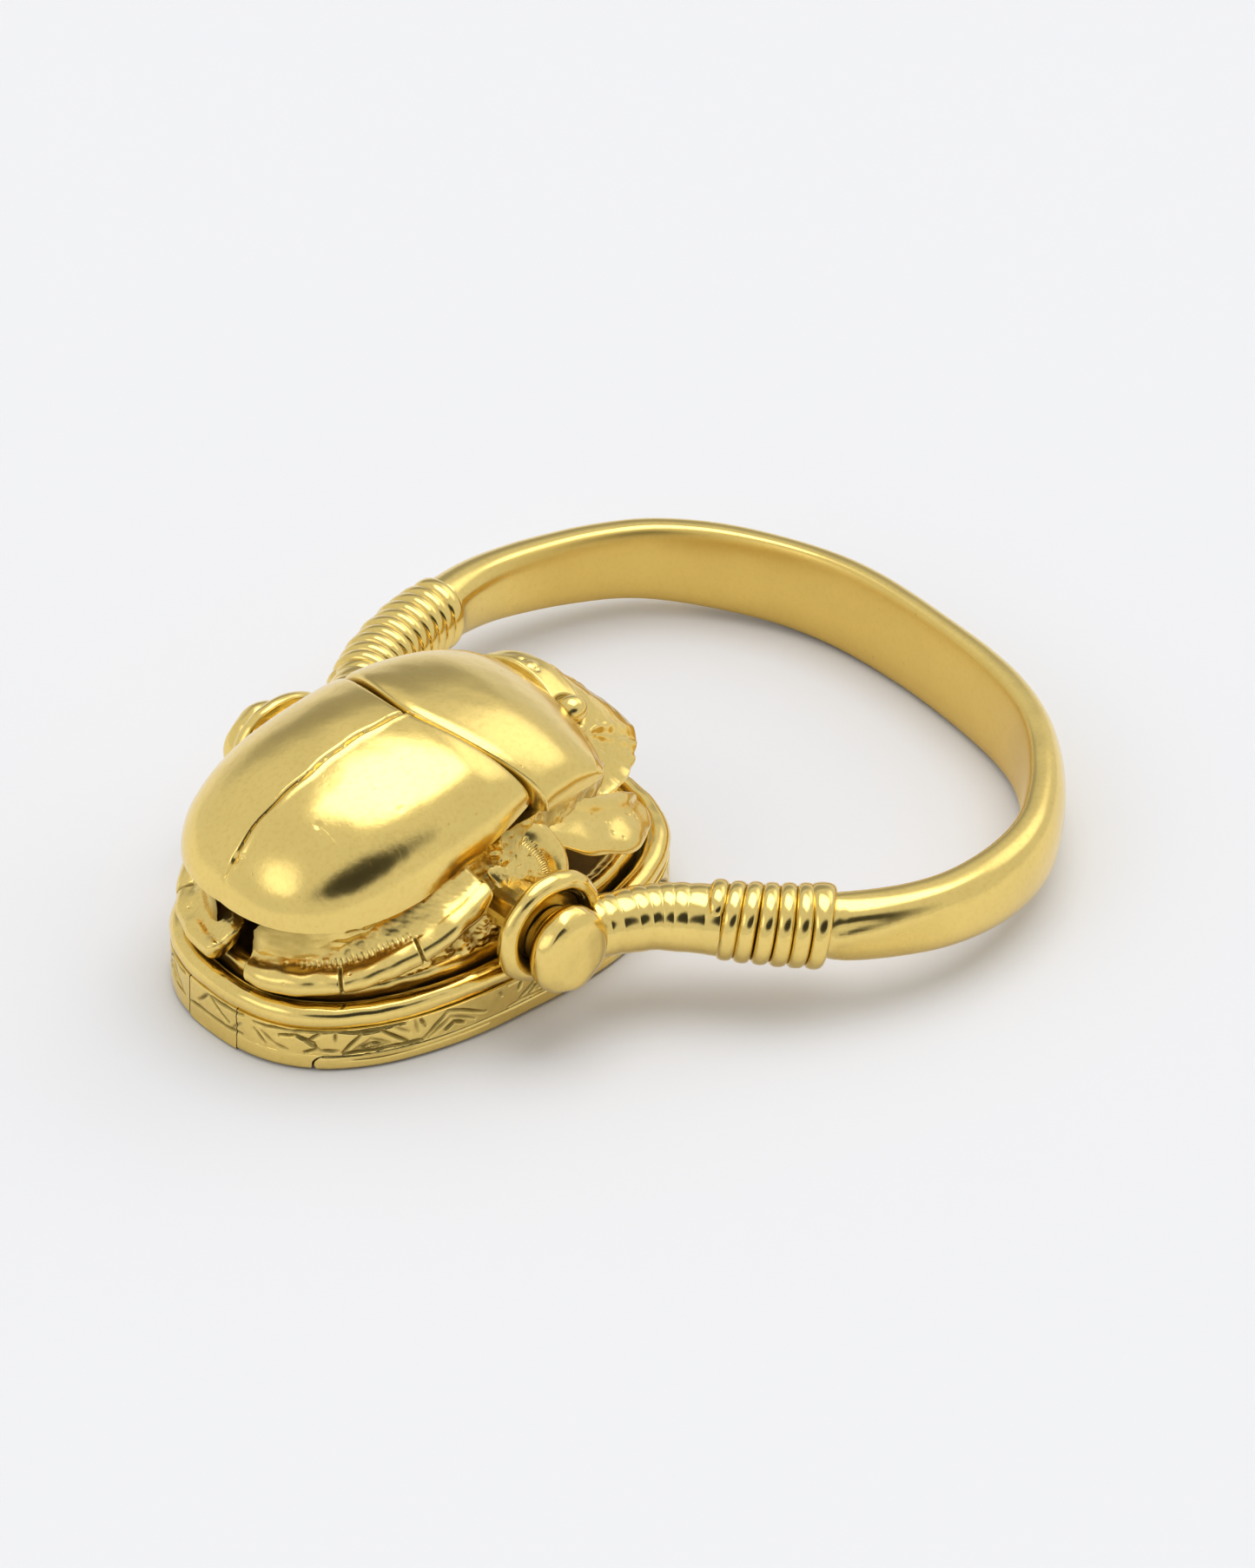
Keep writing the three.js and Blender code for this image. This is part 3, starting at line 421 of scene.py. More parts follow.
def gold(name, colour, deep, roughness, wear, grain, hammer):
    """Gold with worn scratches, pits, and a brown film in its recesses and between parts, partly grime and partly
    painted shade.

    Wear is how strong the scratches are, grain how matt the fine texture is, hammer how uneven the surface is.
    """
    material = bpy.data.materials.new(name)
    material.use_nodes = True
    finish = Finish(material.node_tree)
    mm = finish.add("ShaderNodeVectorMath", {"operation": "SCALE"}, {
        0: finish.add("ShaderNodeTexCoord", out=3), "Scale": 1 / MM,
    })
    # Clouds, specks, a fine grain and the hammer's swell, by how many fit in about a millimetre
    cloud = finish.noise(mm, 0.55, 4)
    speck = finish.noise(mm, 7.0, 4, 0.65)
    fine = finish.noise(mm, 26.0, 3, 0.6)
    swell = finish.noise(mm, 1.1, 2, 0.4)

    # The marks that a piece carries, and how closed in the surface is
    cut = finish.add("ShaderNodeAttribute", {"attribute_name": "cut"}, out=2)
    matt = finish.add("ShaderNodeAttribute", {"attribute_name": "matt"}, out=2)
    open_sky = finish.add("ShaderNodeAmbientOcclusion", {"samples": 6}, {"Distance": 0.45 * MM}, out=1)
    # Closed-in places, creases and gaps between parts turn brown by ambient occlusion: painted shade, broken up
    # by the grime clouds and specks, plus the cut marks, which also carry the flanks' painted shade
    recess = finish.between(0.35, 1.0, 1 - open_sky)
    grime_and_shade = recess * finish.between(0.1, 0.75, cloud * 0.6 + speck * 0.5 + recess * 0.25) + cut
    grime_and_shade = finish.add("ShaderNodeClamp", None, {"Value": grime_and_shade})

    one_way, other_way = (
        finish.between(0.68, 0.76, finish.noise(finish.stretched(mm, turn, size), 1.0, 2, 0.5))
        for turn, size in (((0.3, 0.5, 0.9), (22, 1.1, 6)), ((1.1, 0.2, 2.2), (26, 1.4, 5)))
    )
    scratch = one_way + other_way
    pit_distance = finish.add("ShaderNodeTexVoronoi", None, {"Vector": mm, "Scale": 2.1, "Randomness": 1.0})
    pits = (1 - finish.between(0.03, 0.09, pit_distance)) * finish.between(0.5, 0.62, speck)

    pale = finish.blend(finish.between(0.35, 0.7, cloud), colour, [c * 1.06 for c in colour[:3]] + [1])
    warm = finish.blend(finish.between(0.45, 0.7, speck) * 0.25, pale, deep)
    rubbed = finish.blend(matt * 0.55, warm, deep)
    # The brown here is painted shade in closed-in places as well as grime and dark pits
    base = finish.blend(grime_and_shade * 0.85 + pits * 0.3, rubbed, GRIME_AND_SHADE_BROWN)

    height = (
        swell * (1.0 * hammer) + speck * (0.16 * hammer) + fine * (0.035 * grain)
        - scratch * (0.045 * wear) - pits * (0.35 * wear)
    )
    bump = finish.add("ShaderNodeBump", None, {"Strength": 1.0, "Distance": 0.012 * MM, "Height": height})
    rough = roughness + speck * (0.06 * grain) + scratch * (0.05 * wear) + grime_and_shade * 0.3 + matt * 0.22
    shine = finish.add("ShaderNodeBsdfPrincipled", None, {
        "Base Color": base, "Metallic": 1.0, "Roughness": rough, "Normal": bump,
    })
    finish.end("ShaderNodeOutputMaterial", shine)
    return material


GOLD = [0.85, 0.635, 0.2, 1]
DEEP_GOLD = [0.72, 0.47, 0.09, 1]
# Browns that paint the shade on parts deep in the hollows under the scarab
BROWN = [0.2, 0.12, 0.03, 1]
DEEP_BROWN = [0.1, 0.05, 0.01, 1]
# Brown of the grime and of the painted shade in recesses and between parts
GRIME_AND_SHADE_BROWN = [0.17, 0.115, 0.02, 1]
polished = gold("polished gold", GOLD, DEEP_GOLD, roughness=0.155, wear=1.3, grain=0.7, hammer=1.2)
fine_polish = gold("bright gold", GOLD, DEEP_GOLD, roughness=0.13, wear=0.5, grain=0.4, hammer=0.7)
cast = gold("cast gold", GOLD, DEEP_GOLD, roughness=0.18, wear=0.6, grain=1.2, hammer=1.0)
satin = gold("satin gold", GOLD, DEEP_GOLD, roughness=0.15, wear=0.7, grain=1.0, hammer=0.5)
# Dark brown on parts deep in the hollows: painted shade
shade_brown = gold("brown gold", BROWN, DEEP_BROWN, roughness=0.5, wear=0.3, grain=2.0, hammer=1.5)


# ---- box and lid ----

def tail_angle(y):
    """The oval's angle where its outline reaches y, left of the tail."""
    return math.pi - math.asin((y / BOX_HALF_WIDTH) ** (OVAL_POWER / 2))


def side_angle(x, inset):
    """The oval's angle where its outline, moved in by inset, reaches x on the left."""
    return math.acos(math.copysign((abs(x) / (BOX_HALF_LENGTH - inset)) ** (OVAL_POWER / 2), x))


# Engraved strokes on the wall: lines of [mm along the outline from the middle of the tail, height in mm].
# The right side counts up and the left one down.
STROKES = [
    [(-0.6, 0.8), (-0.11, 1.27), (1.24, 1.27)], [(-0.11, 1.25), (0.69, 0.8)], [(0.8, 0.62), (1.17, 0.98)],
    [(-0.94, 0.56), (-0.17, 0.6), (1.2, 0.62)], [(1.6, 1.2), (2.7, 1.29), (3.84, 1.3), (5.9, 1.27)],
    [(1.86, 1.0), (2.24, 0.76), (2.61, 0.64)], [(2.39, 1.05), (2.86, 1.16), (3.36, 0.9), (3.42, 0.7), (3.1, 0.6)],
    [(2.86, 1.2), (3.55, 0.64), (4.0, 0.68)], [(3.94, 1.27), (3.94, 1.0)],
    [(4.14, 0.62), (4.68, 1.22), (5.19, 1.2), (5.96, 0.66)],
    [(4.44, 0.66), (4.9, 1.0), (5.45, 0.72), (4.44, 0.66)], [(4.6, 0.74), (4.9, 0.86), (5.2, 0.76)],
    [(4.14, 0.6), (5.34, 0.6), (6.41, 0.6)], [(6.2, 1.3), (6.28, 0.9)], [(6.37, 1.28), (6.49, 1.05)],
    [(6.41, 0.6), (7.19, 1.27), (8.42, 0.78)], [(6.6, 0.62), (7.28, 1.04), (8.05, 0.66)],
    [(7.1, 0.66), (7.38, 0.84), (7.71, 0.66)], [(8.9, 1.2), (8.98, 1.06)], [(1.62, 0.98), (1.95, 0.64)],
    [(3.5, 1.2), (3.2, 0.98)], [(5.6, 1.2), (6.0, 0.95)],
]


def chevrons(start, end, count):
    """Nested zigzags, for the stretches that the photograph doesn't show."""
    width = (end - start) / count
    lines = []
    for left in (start + step * width for step in range(count)):
        for share, top, foot in ((0.0, 1.24, 0.62), (0.2, 1.02, 0.66), (0.36, 0.84, 0.68)):
            lines.append([
                (left + share * width, foot), (left + width / 2, top), (left + (1 - share) * width, foot),
            ])
        lines.append([(left + 0.04 * width, 1.2), (left - 0.02 * width, 0.96)])
    return lines


STROKES += chevrons(9.6, WALL_LENGTH / 2 - 0.2, 6) + chevrons(-WALL_LENGTH / 2 + 0.2, -1.4, 11)
for border in (1.29, 0.58):
    STROKES += [[(9.2, border), (WALL_LENGTH / 2, border)], [(-WALL_LENGTH / 2, border), (-1.3, border)]]


def engraved(along, height):
    """How deep the graver went at places along the wall, in mm. It presses hardest in the middle of a stroke."""
    deep = np.zeros_like(along)
    wander = 0.02 * np.sin(along * 3.1) + 0.012 * np.sin(along * 7.3 + height * 5)
    for number, line in enumerate(STROKES):
        press = GRAVER_DEPTH + 0.025 * math.sin(number * 2.3)
        for (s0, z0), (s1, z1) in zip(line, line[1:]):
            near = (along > min(s0, s1) - 0.2) & (along < max(s0, s1) + 0.2)
            if not near.any():
                continue
            s, z = along[near] - s0, height[near] - z0
            way = np.array([s1 - s0, z1 - z0])
            part = np.clip((s * way[0] + z * way[1]) / np.hypot(*way) ** 2, 0, 1)
            away = np.hypot(s - part * way[0], z + wander[near] - part * way[1])
            swell = 0.55 + 0.45 * np.sin(math.pi * np.clip(part, 0.05, 0.95))
            cut = press * swell * np.clip(1 - away / (GRAVER_WIDTH * (0.7 + 0.4 * swell)), 0, 1)
            deep[near] = np.maximum(deep[near], cut)
    return deep


def wall_along(points):
    """Arc length from the middle of the tail for points on the outline, counted up on the right."""
    angle = np.linspace(0, math.pi, 6001)
    x, y = oval(math.pi - angle, 0.0)
    length = np.concatenate([[0], np.cumsum(np.hypot(np.diff(x), np.diff(y)))])
    own = np.arccos(np.clip(signed_power(points[..., 0] / BOX_HALF_LENGTH, OVAL_POWER / 2), -1, 1))
    return np.interp(math.pi - own, angle, length) * np.where(points[..., 1] < 0, 1, -1)


def engrave(rings, low, high):
    """Cuts the strokes into the outer face of rings round the oval. Gives the rings and the cut's mark."""
    outline = np.abs(rings[..., 0] / BOX_HALF_LENGTH) ** OVAL_POWER
    outline += np.abs(rings[..., 1] / BOX_HALF_WIDTH) ** OVAL_POWER
    face = (outline > 0.985) & (rings[..., 2] > low) & (rings[..., 2] < high)
    deep = np.where(face, engraved(wall_along(rings), rings[..., 2]), 0)
    wear = 0.012 * ripple(rings, 1.4, 5) + 0.004 * ripple(rings, 0.4, 6)
    out = unit(rings[..., :2] * np.array([1 / BOX_HALF_LENGTH**2, 1 / BOX_HALF_WIDTH**2]))
    moved = rings.copy()
    moved[..., :2] -= out * (deep + np.where(face, np.abs(wear), 0))[..., None]
    return moved, np.clip(deep / 0.05, 0, 1)


def make_wall():
    """The oval wall, thinner behind the tail block, its outer face fine enough for the engraving."""
    corners = [(0, WALL_BOTTOM), (0, WALL_TOP), (WALL_THICKNESS, WALL_TOP), (WALL_THICKNESS, WALL_BOTTOM)]
    wall = softened(corners, 0.03)
    face = [point for point in filled(wall, ENGRAVING_GRID) if point[0] < 0.001]
    back = [point for point in wall if point[0] >= 0.001]
    top = sorted((point for point in back if point[1] > 1), key=lambda point: point[0])
    foot = sorted((point for point in back if point[1] <= 1), key=lambda point: -point[0])
    profile = np.array(sorted(face, key=lambda point: point[1]) + top + foot)
    block = tail_angle(BLOCK_HALF_WIDTH + SEAT_GAP / 2)
    rings = np.concatenate([
        round_oval(np.linspace(-block, block, 1500), profile),
        round_oval(np.linspace(block, TURN - block, 24), np.maximum(profile, [BLOCK_DEPTH, 0])),
    ])
    return engrave(rings, WALL_BOTTOM + 0.01, WALL_TOP - 0.01)


def ends_at(profile, radius):
    """The oval's angle for each point of a profile, where a round face about the lid's hinge line cuts it off."""
    reach = np.sqrt(np.maximum(radius**2 - (profile[:, 1] - HINGE_Z) ** 2, 0))
    return np.array([side_angle(HINGE_X - own, inset) for own, inset in zip(reach, profile[:, 0])])


def rim_profile(width, height):
    """A rim's [inset, z] section, more rounded below than above."""
    profile = filled(softened([(0, height), (width, height), (width, 0), (0, 0)], 0.18, 6), 0.05)
    z = profile[:, 1]
    profile[:, 1] = np.where(z > HINGE_Z, np.clip(z * 1.4 - 0.1, 0, height), z)
    return profile


def make_heel():
    """The fixed rim behind the lid's hinge, on both sides of the tail block."""
    profile = rim_profile(WALL_THICKNESS, WALL_BOTTOM + 0.02)
    start = ends_at(np.maximum(profile, [0, HINGE_Z]), HINGE_Z + 0.045)
    end = tail_angle(BLOCK_HALF_WIDTH + SEAT_GAP / 2)
    share = np.linspace(0, 1, 60)[:, None]
    angles = start[None, :] * (1 - share) + end * share
    return [shell(round_oval(side * angles, profile)) for side in (1, -1)]


def make_tail_block():
    corners = [(0, WALL_TOP), (BLOCK_DEPTH - SEAT_GAP, WALL_TOP), (BLOCK_DEPTH - SEAT_GAP, 0), (0, 0)]
    profile = filled(softened(corners, 0.07), ENGRAVING_GRID)
    edge = tail_angle(BLOCK_HALF_WIDTH - 0.01)
    return engrave(round_oval(np.linspace(edge, TURN - edge, 110), profile), 0.1, WALL_TOP - 0.01)


def make_rim():
    """The lid's rim, with a worn line along its outer face."""
    profile = rim_profile(LID_RIM_WIDTH, LID_HEIGHT)
    rings = round_oval(np.linspace(-1, 1, 620)[:, None] * ends_at(profile, HINGE_Z - 0.005)[None, :], profile)
    line = bell(rings[..., 2], 0.34, 0.03) * (rings[..., 2] > 0.2)
    worn = ramp(np.abs(wall_along(rings)), 3.6, 4.6) * (0.6 + 0.4 * ripple(rings, 2.5, 8))
    moved = rings - normals_of(rings, False) * (0.028 * line * worn + 0.008 * ripple(rings, 1.6, 9))[..., None]
    moved[..., 2] = np.maximum(moved[..., 2], 0)
    return moved


def make_bead():
    low = -math.asin(BEAD_SINK / BEAD_RADIUS)
    angle = np.linspace(low, math.pi - low, 26)
    profile = np.stack([
        BEAD_RADIUS * (1 - np.cos(angle)), BEAD_BOTTOM + BEAD_SINK + BEAD_RADIUS * np.sin(angle),
    ], axis=-1)
    profile[:, 1] -= np.where(profile[:, 1] < BEAD_BOTTOM + 0.02, 0.04, 0)
    profile = np.concatenate([profile, np.linspace(profile[-1], profile[0], 8)[1:-1]])
    rings = round_oval(around(520), profile)
    return uneven(rings, normals_of(rings, True), (0.02, 3.2, 11), (0.006, 0.9, 12))


def make_skirt():
    """The rail inside the moulding. Its section is in shares of its width and height."""
    shares = [[0, 0], [0, 0.55], [0.08, 0.84], [0.3, 1], [0.66, 0.95], [1, 0.7], [1, 0]]
    corners = [(SKIRT_INSET + w * SKIRT_WIDTH, BEAD_BOTTOM + h * SKIRT_HEIGHT) for w, h in shares]
    rings = round_oval(around(420), filled(softened(corners, 0.1, 3), 0.09))
    return uneven(rings, normals_of(rings, True), (0.014, 1.4, 14), (0.006, 0.4, 15))


wall_rings, wall_cut = make_wall()
heels = make_heel()
heel_cut = np.zeros(sum(len(points) for points, _ in heels))
wall_marks = {"cut": np.concatenate([wall_cut.ravel(), heel_cut])}
piece("bezel_wall", [shell(wall_rings, True), *heels], "bezel", polished, marks=wall_marks)
block_rings, block_cut = make_tail_block()
piece("tail_block", [shell(block_rings)], "bezel", polished, marks={"cut": block_cut})
piece("bead_moulding", [shell(make_bead(), True)], "bezel", fine_polish)
piece("body_skirt", [shell(make_skirt(), True)], "bezel", cast)
piece("lid_rim", [shell(make_rim())], "lid", polished)


# ---- scarab ----

def wing_rows():
    """Shares of the wing cases' length, of their half widths, right and left, and of their rise, edge and top."""
    rows = []
    for angle in np.linspace(0.05, 1.35, 18):
        back = math.cos(angle)
        half = (1 - back**2.4) ** 0.385
        edge, top = 0.075 + 0.17 * (1 - back) ** 2.2, 0.08 + 0.88 * (1 - back**1.7) ** 0.55
        rows.append([0.55 * (1 - back), half, 1.06 * half, edge, top])
    return rows + [
        [0.533, 1, 1.045, 0.255, 0.965], [0.641, 0.992, 1.039, 0.32, 0.99], [0.728, 0.974, 1.031, 0.376, 0.985],
        [0.815, 0.935, 1, 0.43, 0.92], [0.88, 0.888, 0.953, 0.462, 0.83], [0.935, 0.82, 0.872, 0.497, 0.73],
        [1, 0.72, 0.746, 0.5, 0.58],
    ]


def dome(share):
    return np.maximum(1 - np.abs(share) ** WING_POWER, 0) ** (1 / WING_POWER)


def thorax_rear(share):
    return THORAX_START + THORAX_SWEEP * np.abs(share) ** 1.6 - THORAX_SKEW * share


def thorax_front(share):
    return THORAX_START + THORAX_LENGTH - THORAX_FRONT_SWEEP * np.abs(share) ** 2.2 + THORAX_SKEW / 2 * share


def arch(angle, right, left, edge, top):
    """Cross-sections that arch from one lower edge over the top to the other."""
    half = np.where(angle < 0, right, left)
    y = half * signed_power(np.sin(angle), 2 / WING_POWER)
    z = edge + (top - edge) * signed_power(np.cos(angle), 2 / WING_POWER)
    return y, z


def make_wings():
    """The two wing cases as one hollow shell, with the seam between them and the step down at the thorax."""
    rows = through(wing_rows(), np.linspace(0, 1, 240))
    x = BACK_TAIL + rows[:, :1] * BACK_LENGTH
    right, left = rows[:, 1:2] * BACK_HALF_WIDTH, rows[:, 2:3] * BACK_HALF_WIDTH
    edge, top = BACK_EDGE + rows[:, 3:4] * BACK_RISE, BACK_EDGE + rows[:, 4:5] * BACK_RISE
    quarter = TURN / 4
    q = np.linspace(-1, 1, 181)[None, :]
    outer = np.clip((0.4 * q + 0.6 * signed_power(q, 2)) * quarter, 1e-6 - quarter, quarter - 1e-6)
    skin = spots(x, *arch(outer, right, left, edge, top))

    seam_y = 0.03 * np.sin(x * 1.9) + 0.02 * np.sin(x * 5.3 + 1)
    seam_on = ramp(x, -7.0, -6.75) * (1 - ramp(x, -0.5, -0.2))
    off = skin[..., 1] - seam_y
    skin[..., 2] -= seam_on * (0.13 * bell(off, 0, 0.055) - 0.03 * bell(off, -0.13, 0.09))
    behind = skin[..., 0] - thorax_rear(np.clip(skin[..., 1] / THORAX_HALF_WIDTH, -1.05, 1.05))
    skin[..., 2] -= 0.2 * bell(behind, -0.05, 0.1) + 0.42 * ramp(behind, -0.08, 0.12)

    inside = spots(x, *arch(
        np.linspace(quarter, -quarter, 41)[None, 1:-1] * 0.999,
        np.maximum(right - SHELL_WALL, 0.1 * right), np.maximum(left - SHELL_WALL, 0.1 * left),
        edge, edge + np.maximum(top - edge - SHELL_WALL - 0.4, 0.1 * (top - edge)),
    ))
    normals = unit(np.cross(np.gradient(skin, axis=0), np.gradient(skin, axis=1)))
    normals *= np.sign(normals[..., 2:3].mean())
    skin = dented(uneven(skin, normals, (0.012, 4.0, 21), (0.0025, 1.1, 22)), normals, WING_DENTS)
    return np.concatenate([skin, inside], axis=1)


def make_thorax():
    """The domed thorax, over a narrow bevel in front. Its right edge is thinner than its left one."""
    crown = [[0, 0.03], [0.06, 0], [0.25, 0.04], [0.5, 0.17], [0.73, 0.42], [0.9, 0.74], [0.97, 0.91], [1, 1]]
    ahead, fall = through(crown, np.linspace(0, 1, 46))[None, 1:].transpose(2, 0, 1)
    shares = np.clip(-np.cos(np.linspace(0, math.pi, 141)), -0.9993, 0.9993)[:, None]
    rear, front = thorax_rear(shares), thorax_front(shares)
    lift = 0.55 * np.clip(-shares, 0, 1) ** 3
    edge = THORAX_EDGE + THORAX_LEAN * shares + lift
    top = edge + (THORAX_RISE - lift) * dome(shares)
    front_top = edge - THORAX_EDGE + THORAX_FRONT_EDGE + THORAX_FRONT_RISE * dome(shares)
    foot = edge - 0.1
    x = np.concatenate([
        rear + [0.06, 0.01, 0, 0.012, 0.05], rear + (front - rear) * ahead, front + [0.03, 0.035, 0, -0.12, -0.3],
    ], axis=1)
    z = np.concatenate([
        foot, np.maximum(top - [0.3, 0.16], foot), top - [0.08, 0.035],
        top + (front_top - top) * fall, front_top - [0.09, 0.12, 0.16, 0.18, 0.2],
    ], axis=1)
    share = np.clip((x - rear) / (front - rear), 0, 1)
    y = shares * (THORAX_HALF_WIDTH + (THORAX_FRONT_HALF_WIDTH - THORAX_HALF_WIDTH) * share)
    strip = (1 - ramp(front - x, 0.2, 0.3)) * (z > front_top - 0.05)
    rings = spots(x, y, z - strip * (0.07 - 0.048 * np.clip((front - x) / 0.25, 0, 1)))
    normals = normals_of(rings, False)
    return dented(uneven(rings, normals, (0.016, 3.0, 24), (0.003, 0.9, 25)), normals, THORAX_DENTS)


def ball(centre, size):
    """A ball with its own half sizes."""
    lift = np.linspace(-math.pi / 2 + 0.02, math.pi / 2 - 0.02, 40)[:, None]
    turn = around(64)[None, :]
    rings = spots(np.cos(lift) * np.cos(turn), np.cos(lift) * np.sin(turn), np.sin(lift))
    return rings * np.asarray(size) + np.asarray(centre)


def ribs(x, y, strokes):
    """Ridges and grooves that fan out beside each eye. Each stroke has its angle, its height and its width."""
    beside = HEAD_Y - np.abs(y - HEAD_Y) - FAN_FOCUS[1]
    turn, away = np.arctan2(beside, x - FAN_FOCUS[0]), np.hypot(beside, x - FAN_FOCUS[0])
    return sum(height * bell(turn, own, wide) for own, height, wide in strokes) * ramp(away, 0.15, 0.6)


def egg(c, s, left, ahead, right, more):
    """Reach of an outline of the head, from its half sizes ahead and to the right, and its excess on the left."""
    return 1 / np.hypot(c / ahead, s / (right + more * left))


def make_shield():
    """The head: a crown with a fine border line, and before it the ribbed fan, as one form over the plan."""
    columns, levels = 420, 110
    way = np.linspace(-math.pi, math.pi, columns, endpoint=False)[None, :]
    c, s = np.cos(way), np.sin(way)
    ahead, left = ramp(c, -0.3, 0.25), ramp(s, -0.15, 0.15)
    border, fan, crown = (egg(c, s, left, *sizes) for sizes in (BORDER_SIZES, FAN_SIZES, CROWN_SIZES))
    rim = crown + (fan - 0.1 * ribs(HEAD_X + fan * c, HEAD_Y + fan * s, FAN_NOTCHES) - crown) * ahead
    reach = np.linspace(0, 1, levels)[:, None] ** 0.85 * rim
    x, y = HEAD_X + reach * c, HEAD_Y + reach * s
    out = np.clip((reach - border) / np.maximum(rim - border, 0.05), 0, 1)
    brow = BROW_Z - 0.15 * (y - BROW_Y) ** 2
    rim_z = CROWN_RIM_Z + (FAN_RIM_Z + 0.16 * rim * s - CROWN_RIM_Z) * ahead
    top = brow + 0.25 * (1 - np.clip(reach / border, 0, 1) ** 2.2)
    fall = brow - 0.07 - (brow - 0.07 - rim_z) * out ** (1.35 - 0.2 * left)
    step = 1 / (1 + np.exp(np.clip((reach - border) / 0.018, -30, 30)))
    z = top * step + fall * (1 - step) + 0.11 * ribs(x, y, FAN_RIBS) * ramp(out, 0.03, 0.2) * ahead
    under_thorax = x - thorax_front(np.clip(y / THORAX_FRONT_HALF_WIDTH, -1, 1))
    rings = spots(x, y, z - 0.5 * (1 - ramp(under_thorax, -0.5, -0.15)))
    middle = np.array([HEAD_X, HEAD_Y, 0])
    under = [
        (rings[-1] - middle) * np.array([inward, inward, 1]) + middle - np.array([0, 0, down])
        for inward, down in HEAD_UNDERSIDE
    ]
    normals = normals_of(rings, False)
    rings = uneven(rings, normals, (0.012, 1.3, 31), (0.004, 0.4, 32))
    socket = bell(np.linalg.norm(rings - EYE, axis=-1), 0.5, 0.06)
    rings = dented(rings - normals * (0.08 * socket)[..., None], normals, HEAD_DENTS)
    return np.concatenate([rings, under]), np.concatenate([socket, np.zeros((len(under), columns))])


def make_head():
    """The head with its eyes, and the dark ring pressed in round the right eye."""
    shield, socket = make_shield()
    eyes = [shell(ball(centre, size)) for centre, size in EYES]
    plain = np.zeros(sum(len(points) for points, _ in eyes))
    return [shell(shield), *eyes], {"cut": 0.8 * np.concatenate([socket.ravel(), plain])}


# The body's rough side, between the wing cases and the rail, in outline: [x, z] corners seen from the side
FLANK = [
    (-6.62, 2.15), (-6.58, 3.9), (-5.7, 4.2), (-4.4, 4.55), (-2.0, 4.9), (0.0, 5.25), (1.4, 5.4), (3.0, 5.35),
    (4.5, 5.1), (4.6, 4.4), (2.7, 4.0), (1.9, 3.2), (1.6, 2.15),
]
FLANK_HOLE = 0.62
FLANK_BULGE = 3.5
FLANK_MIDDLE = -0.6
FLANK_HALF_LENGTH = 6.1
FLANK_POWER = 2.6


def make_flank(side):
    """A rough wall under one wing case, with a hole where the swivel's tube passes through."""
    line = filled(softened(FLANK, 0.5, 6), 0.06)
    centre = np.array([SWIVEL_X, SWIVEL_Z])
    line = line[np.argsort(np.arctan2(line[:, 1] - centre[1], line[:, 0] - centre[0]))]
    hole = FLANK_HOLE * unit(line - centre) + centre
    plan = hole[:, None, :] + (line - hole)[:, None, :] * np.linspace(0, 1, 46)[None, :, None]
    x, z = plan[..., 0], plan[..., 1]
    past = np.abs((x - FLANK_MIDDLE) / FLANK_HALF_LENGTH) ** FLANK_POWER
    bulge = FLANK_BULGE * np.maximum(1 - past, 0.004) ** (1 / FLANK_POWER)
    bulge += 0.3 * (1 - ramp(z, 2.1, 3.6)) * ramp(x, -6.5, -5) + 0.72 * bell(x, 0.1, 1.5) * bell(z, 3.5, 1.1)
    outer = spots(x, side * bulge, z)
    seed = 27 + side
    waves = ((0.05, 1.5, seed), (0.02, 0.5, seed + 2), (0.012, 0.2, seed + 4))
    rough = sum(high * ripple(outer, wave, own) for high, wave, own in waves)
    outer[..., 1] += side * rough
    inner = outer[:, ::-1] - np.array([0, side * 0.3, 0])
    # The mark is 0.3 on the outer face and more in its low spots, and 0.8 over the inner face as painted shade
    # inside the body
    mark = np.concatenate([np.clip(0.3 - 5 * rough, 0, 0.7), np.full(rough.shape, 0.8)], axis=1)
    return shell(np.concatenate([outer, inner], axis=1), True), mark.ravel()


wings, thorax = shell(make_wings()), shell(make_thorax())
flanks = [make_flank(side) for side in (-1, 1)]
back_marks = {"cut": np.concatenate([np.zeros(len(wings[0]) + len(thorax[0])), *(mark for _, mark in flanks)])}
piece("scarab_back", [wings, thorax, *(flank for flank, _ in flanks)], "bezel", polished, marks=back_marks)
head, head_marks = make_head()
piece("scarab_head", head, "bezel", polished, marks=head_marks)


# Legs, as in the solids: rows of shares of the box's half length and half width, then of the back's rise
REAR_LEG = [
    [-0.155, -0.77, 1.2, 0.15, 0.1], [-0.2, -0.785, 1.17, 0.19, 0.11], [-0.38, -0.8, 1.05, 0.21, 0.12],
    [-0.56, -0.71, 0.9, 0.22, 0.12], [-0.72, -0.56, 0.79, 0.22, 0.12], [-0.84, -0.36, 0.75, 0.2, 0.11],
    [-0.89, -0.16, 0.73, 0.18, 0.1], [-0.92, -0.02, 0.72, 0.14, 0.09],
]
MIDDLE_LEG = [
    [0.04, -0.6, 1.34, 0.2, 0.09], [0.07, -0.72, 1.24, 0.25, 0.1], [0.11, -0.81, 1.07, 0.24, 0.11],
    [0.095, -0.86, 0.92, 0.16, 0.11], [0.05, -0.875, 0.79, 0.12, 0.1], [-0.08, -0.86, 0.73, 0.1, 0.08],
]
FRONT_LEG = [
    [0.2, -0.58, 1.33, 0.14, 0.07], [0.3, -0.64, 1.22, 0.18, 0.1], [0.43, -0.67, 1.07, 0.19, 0.11],
    [0.57, -0.65, 0.95, 0.19, 0.1], [0.69, -0.58, 0.87, 0.14, 0.08], [0.76, -0.51, 0.83, 0.07, 0.06],
]


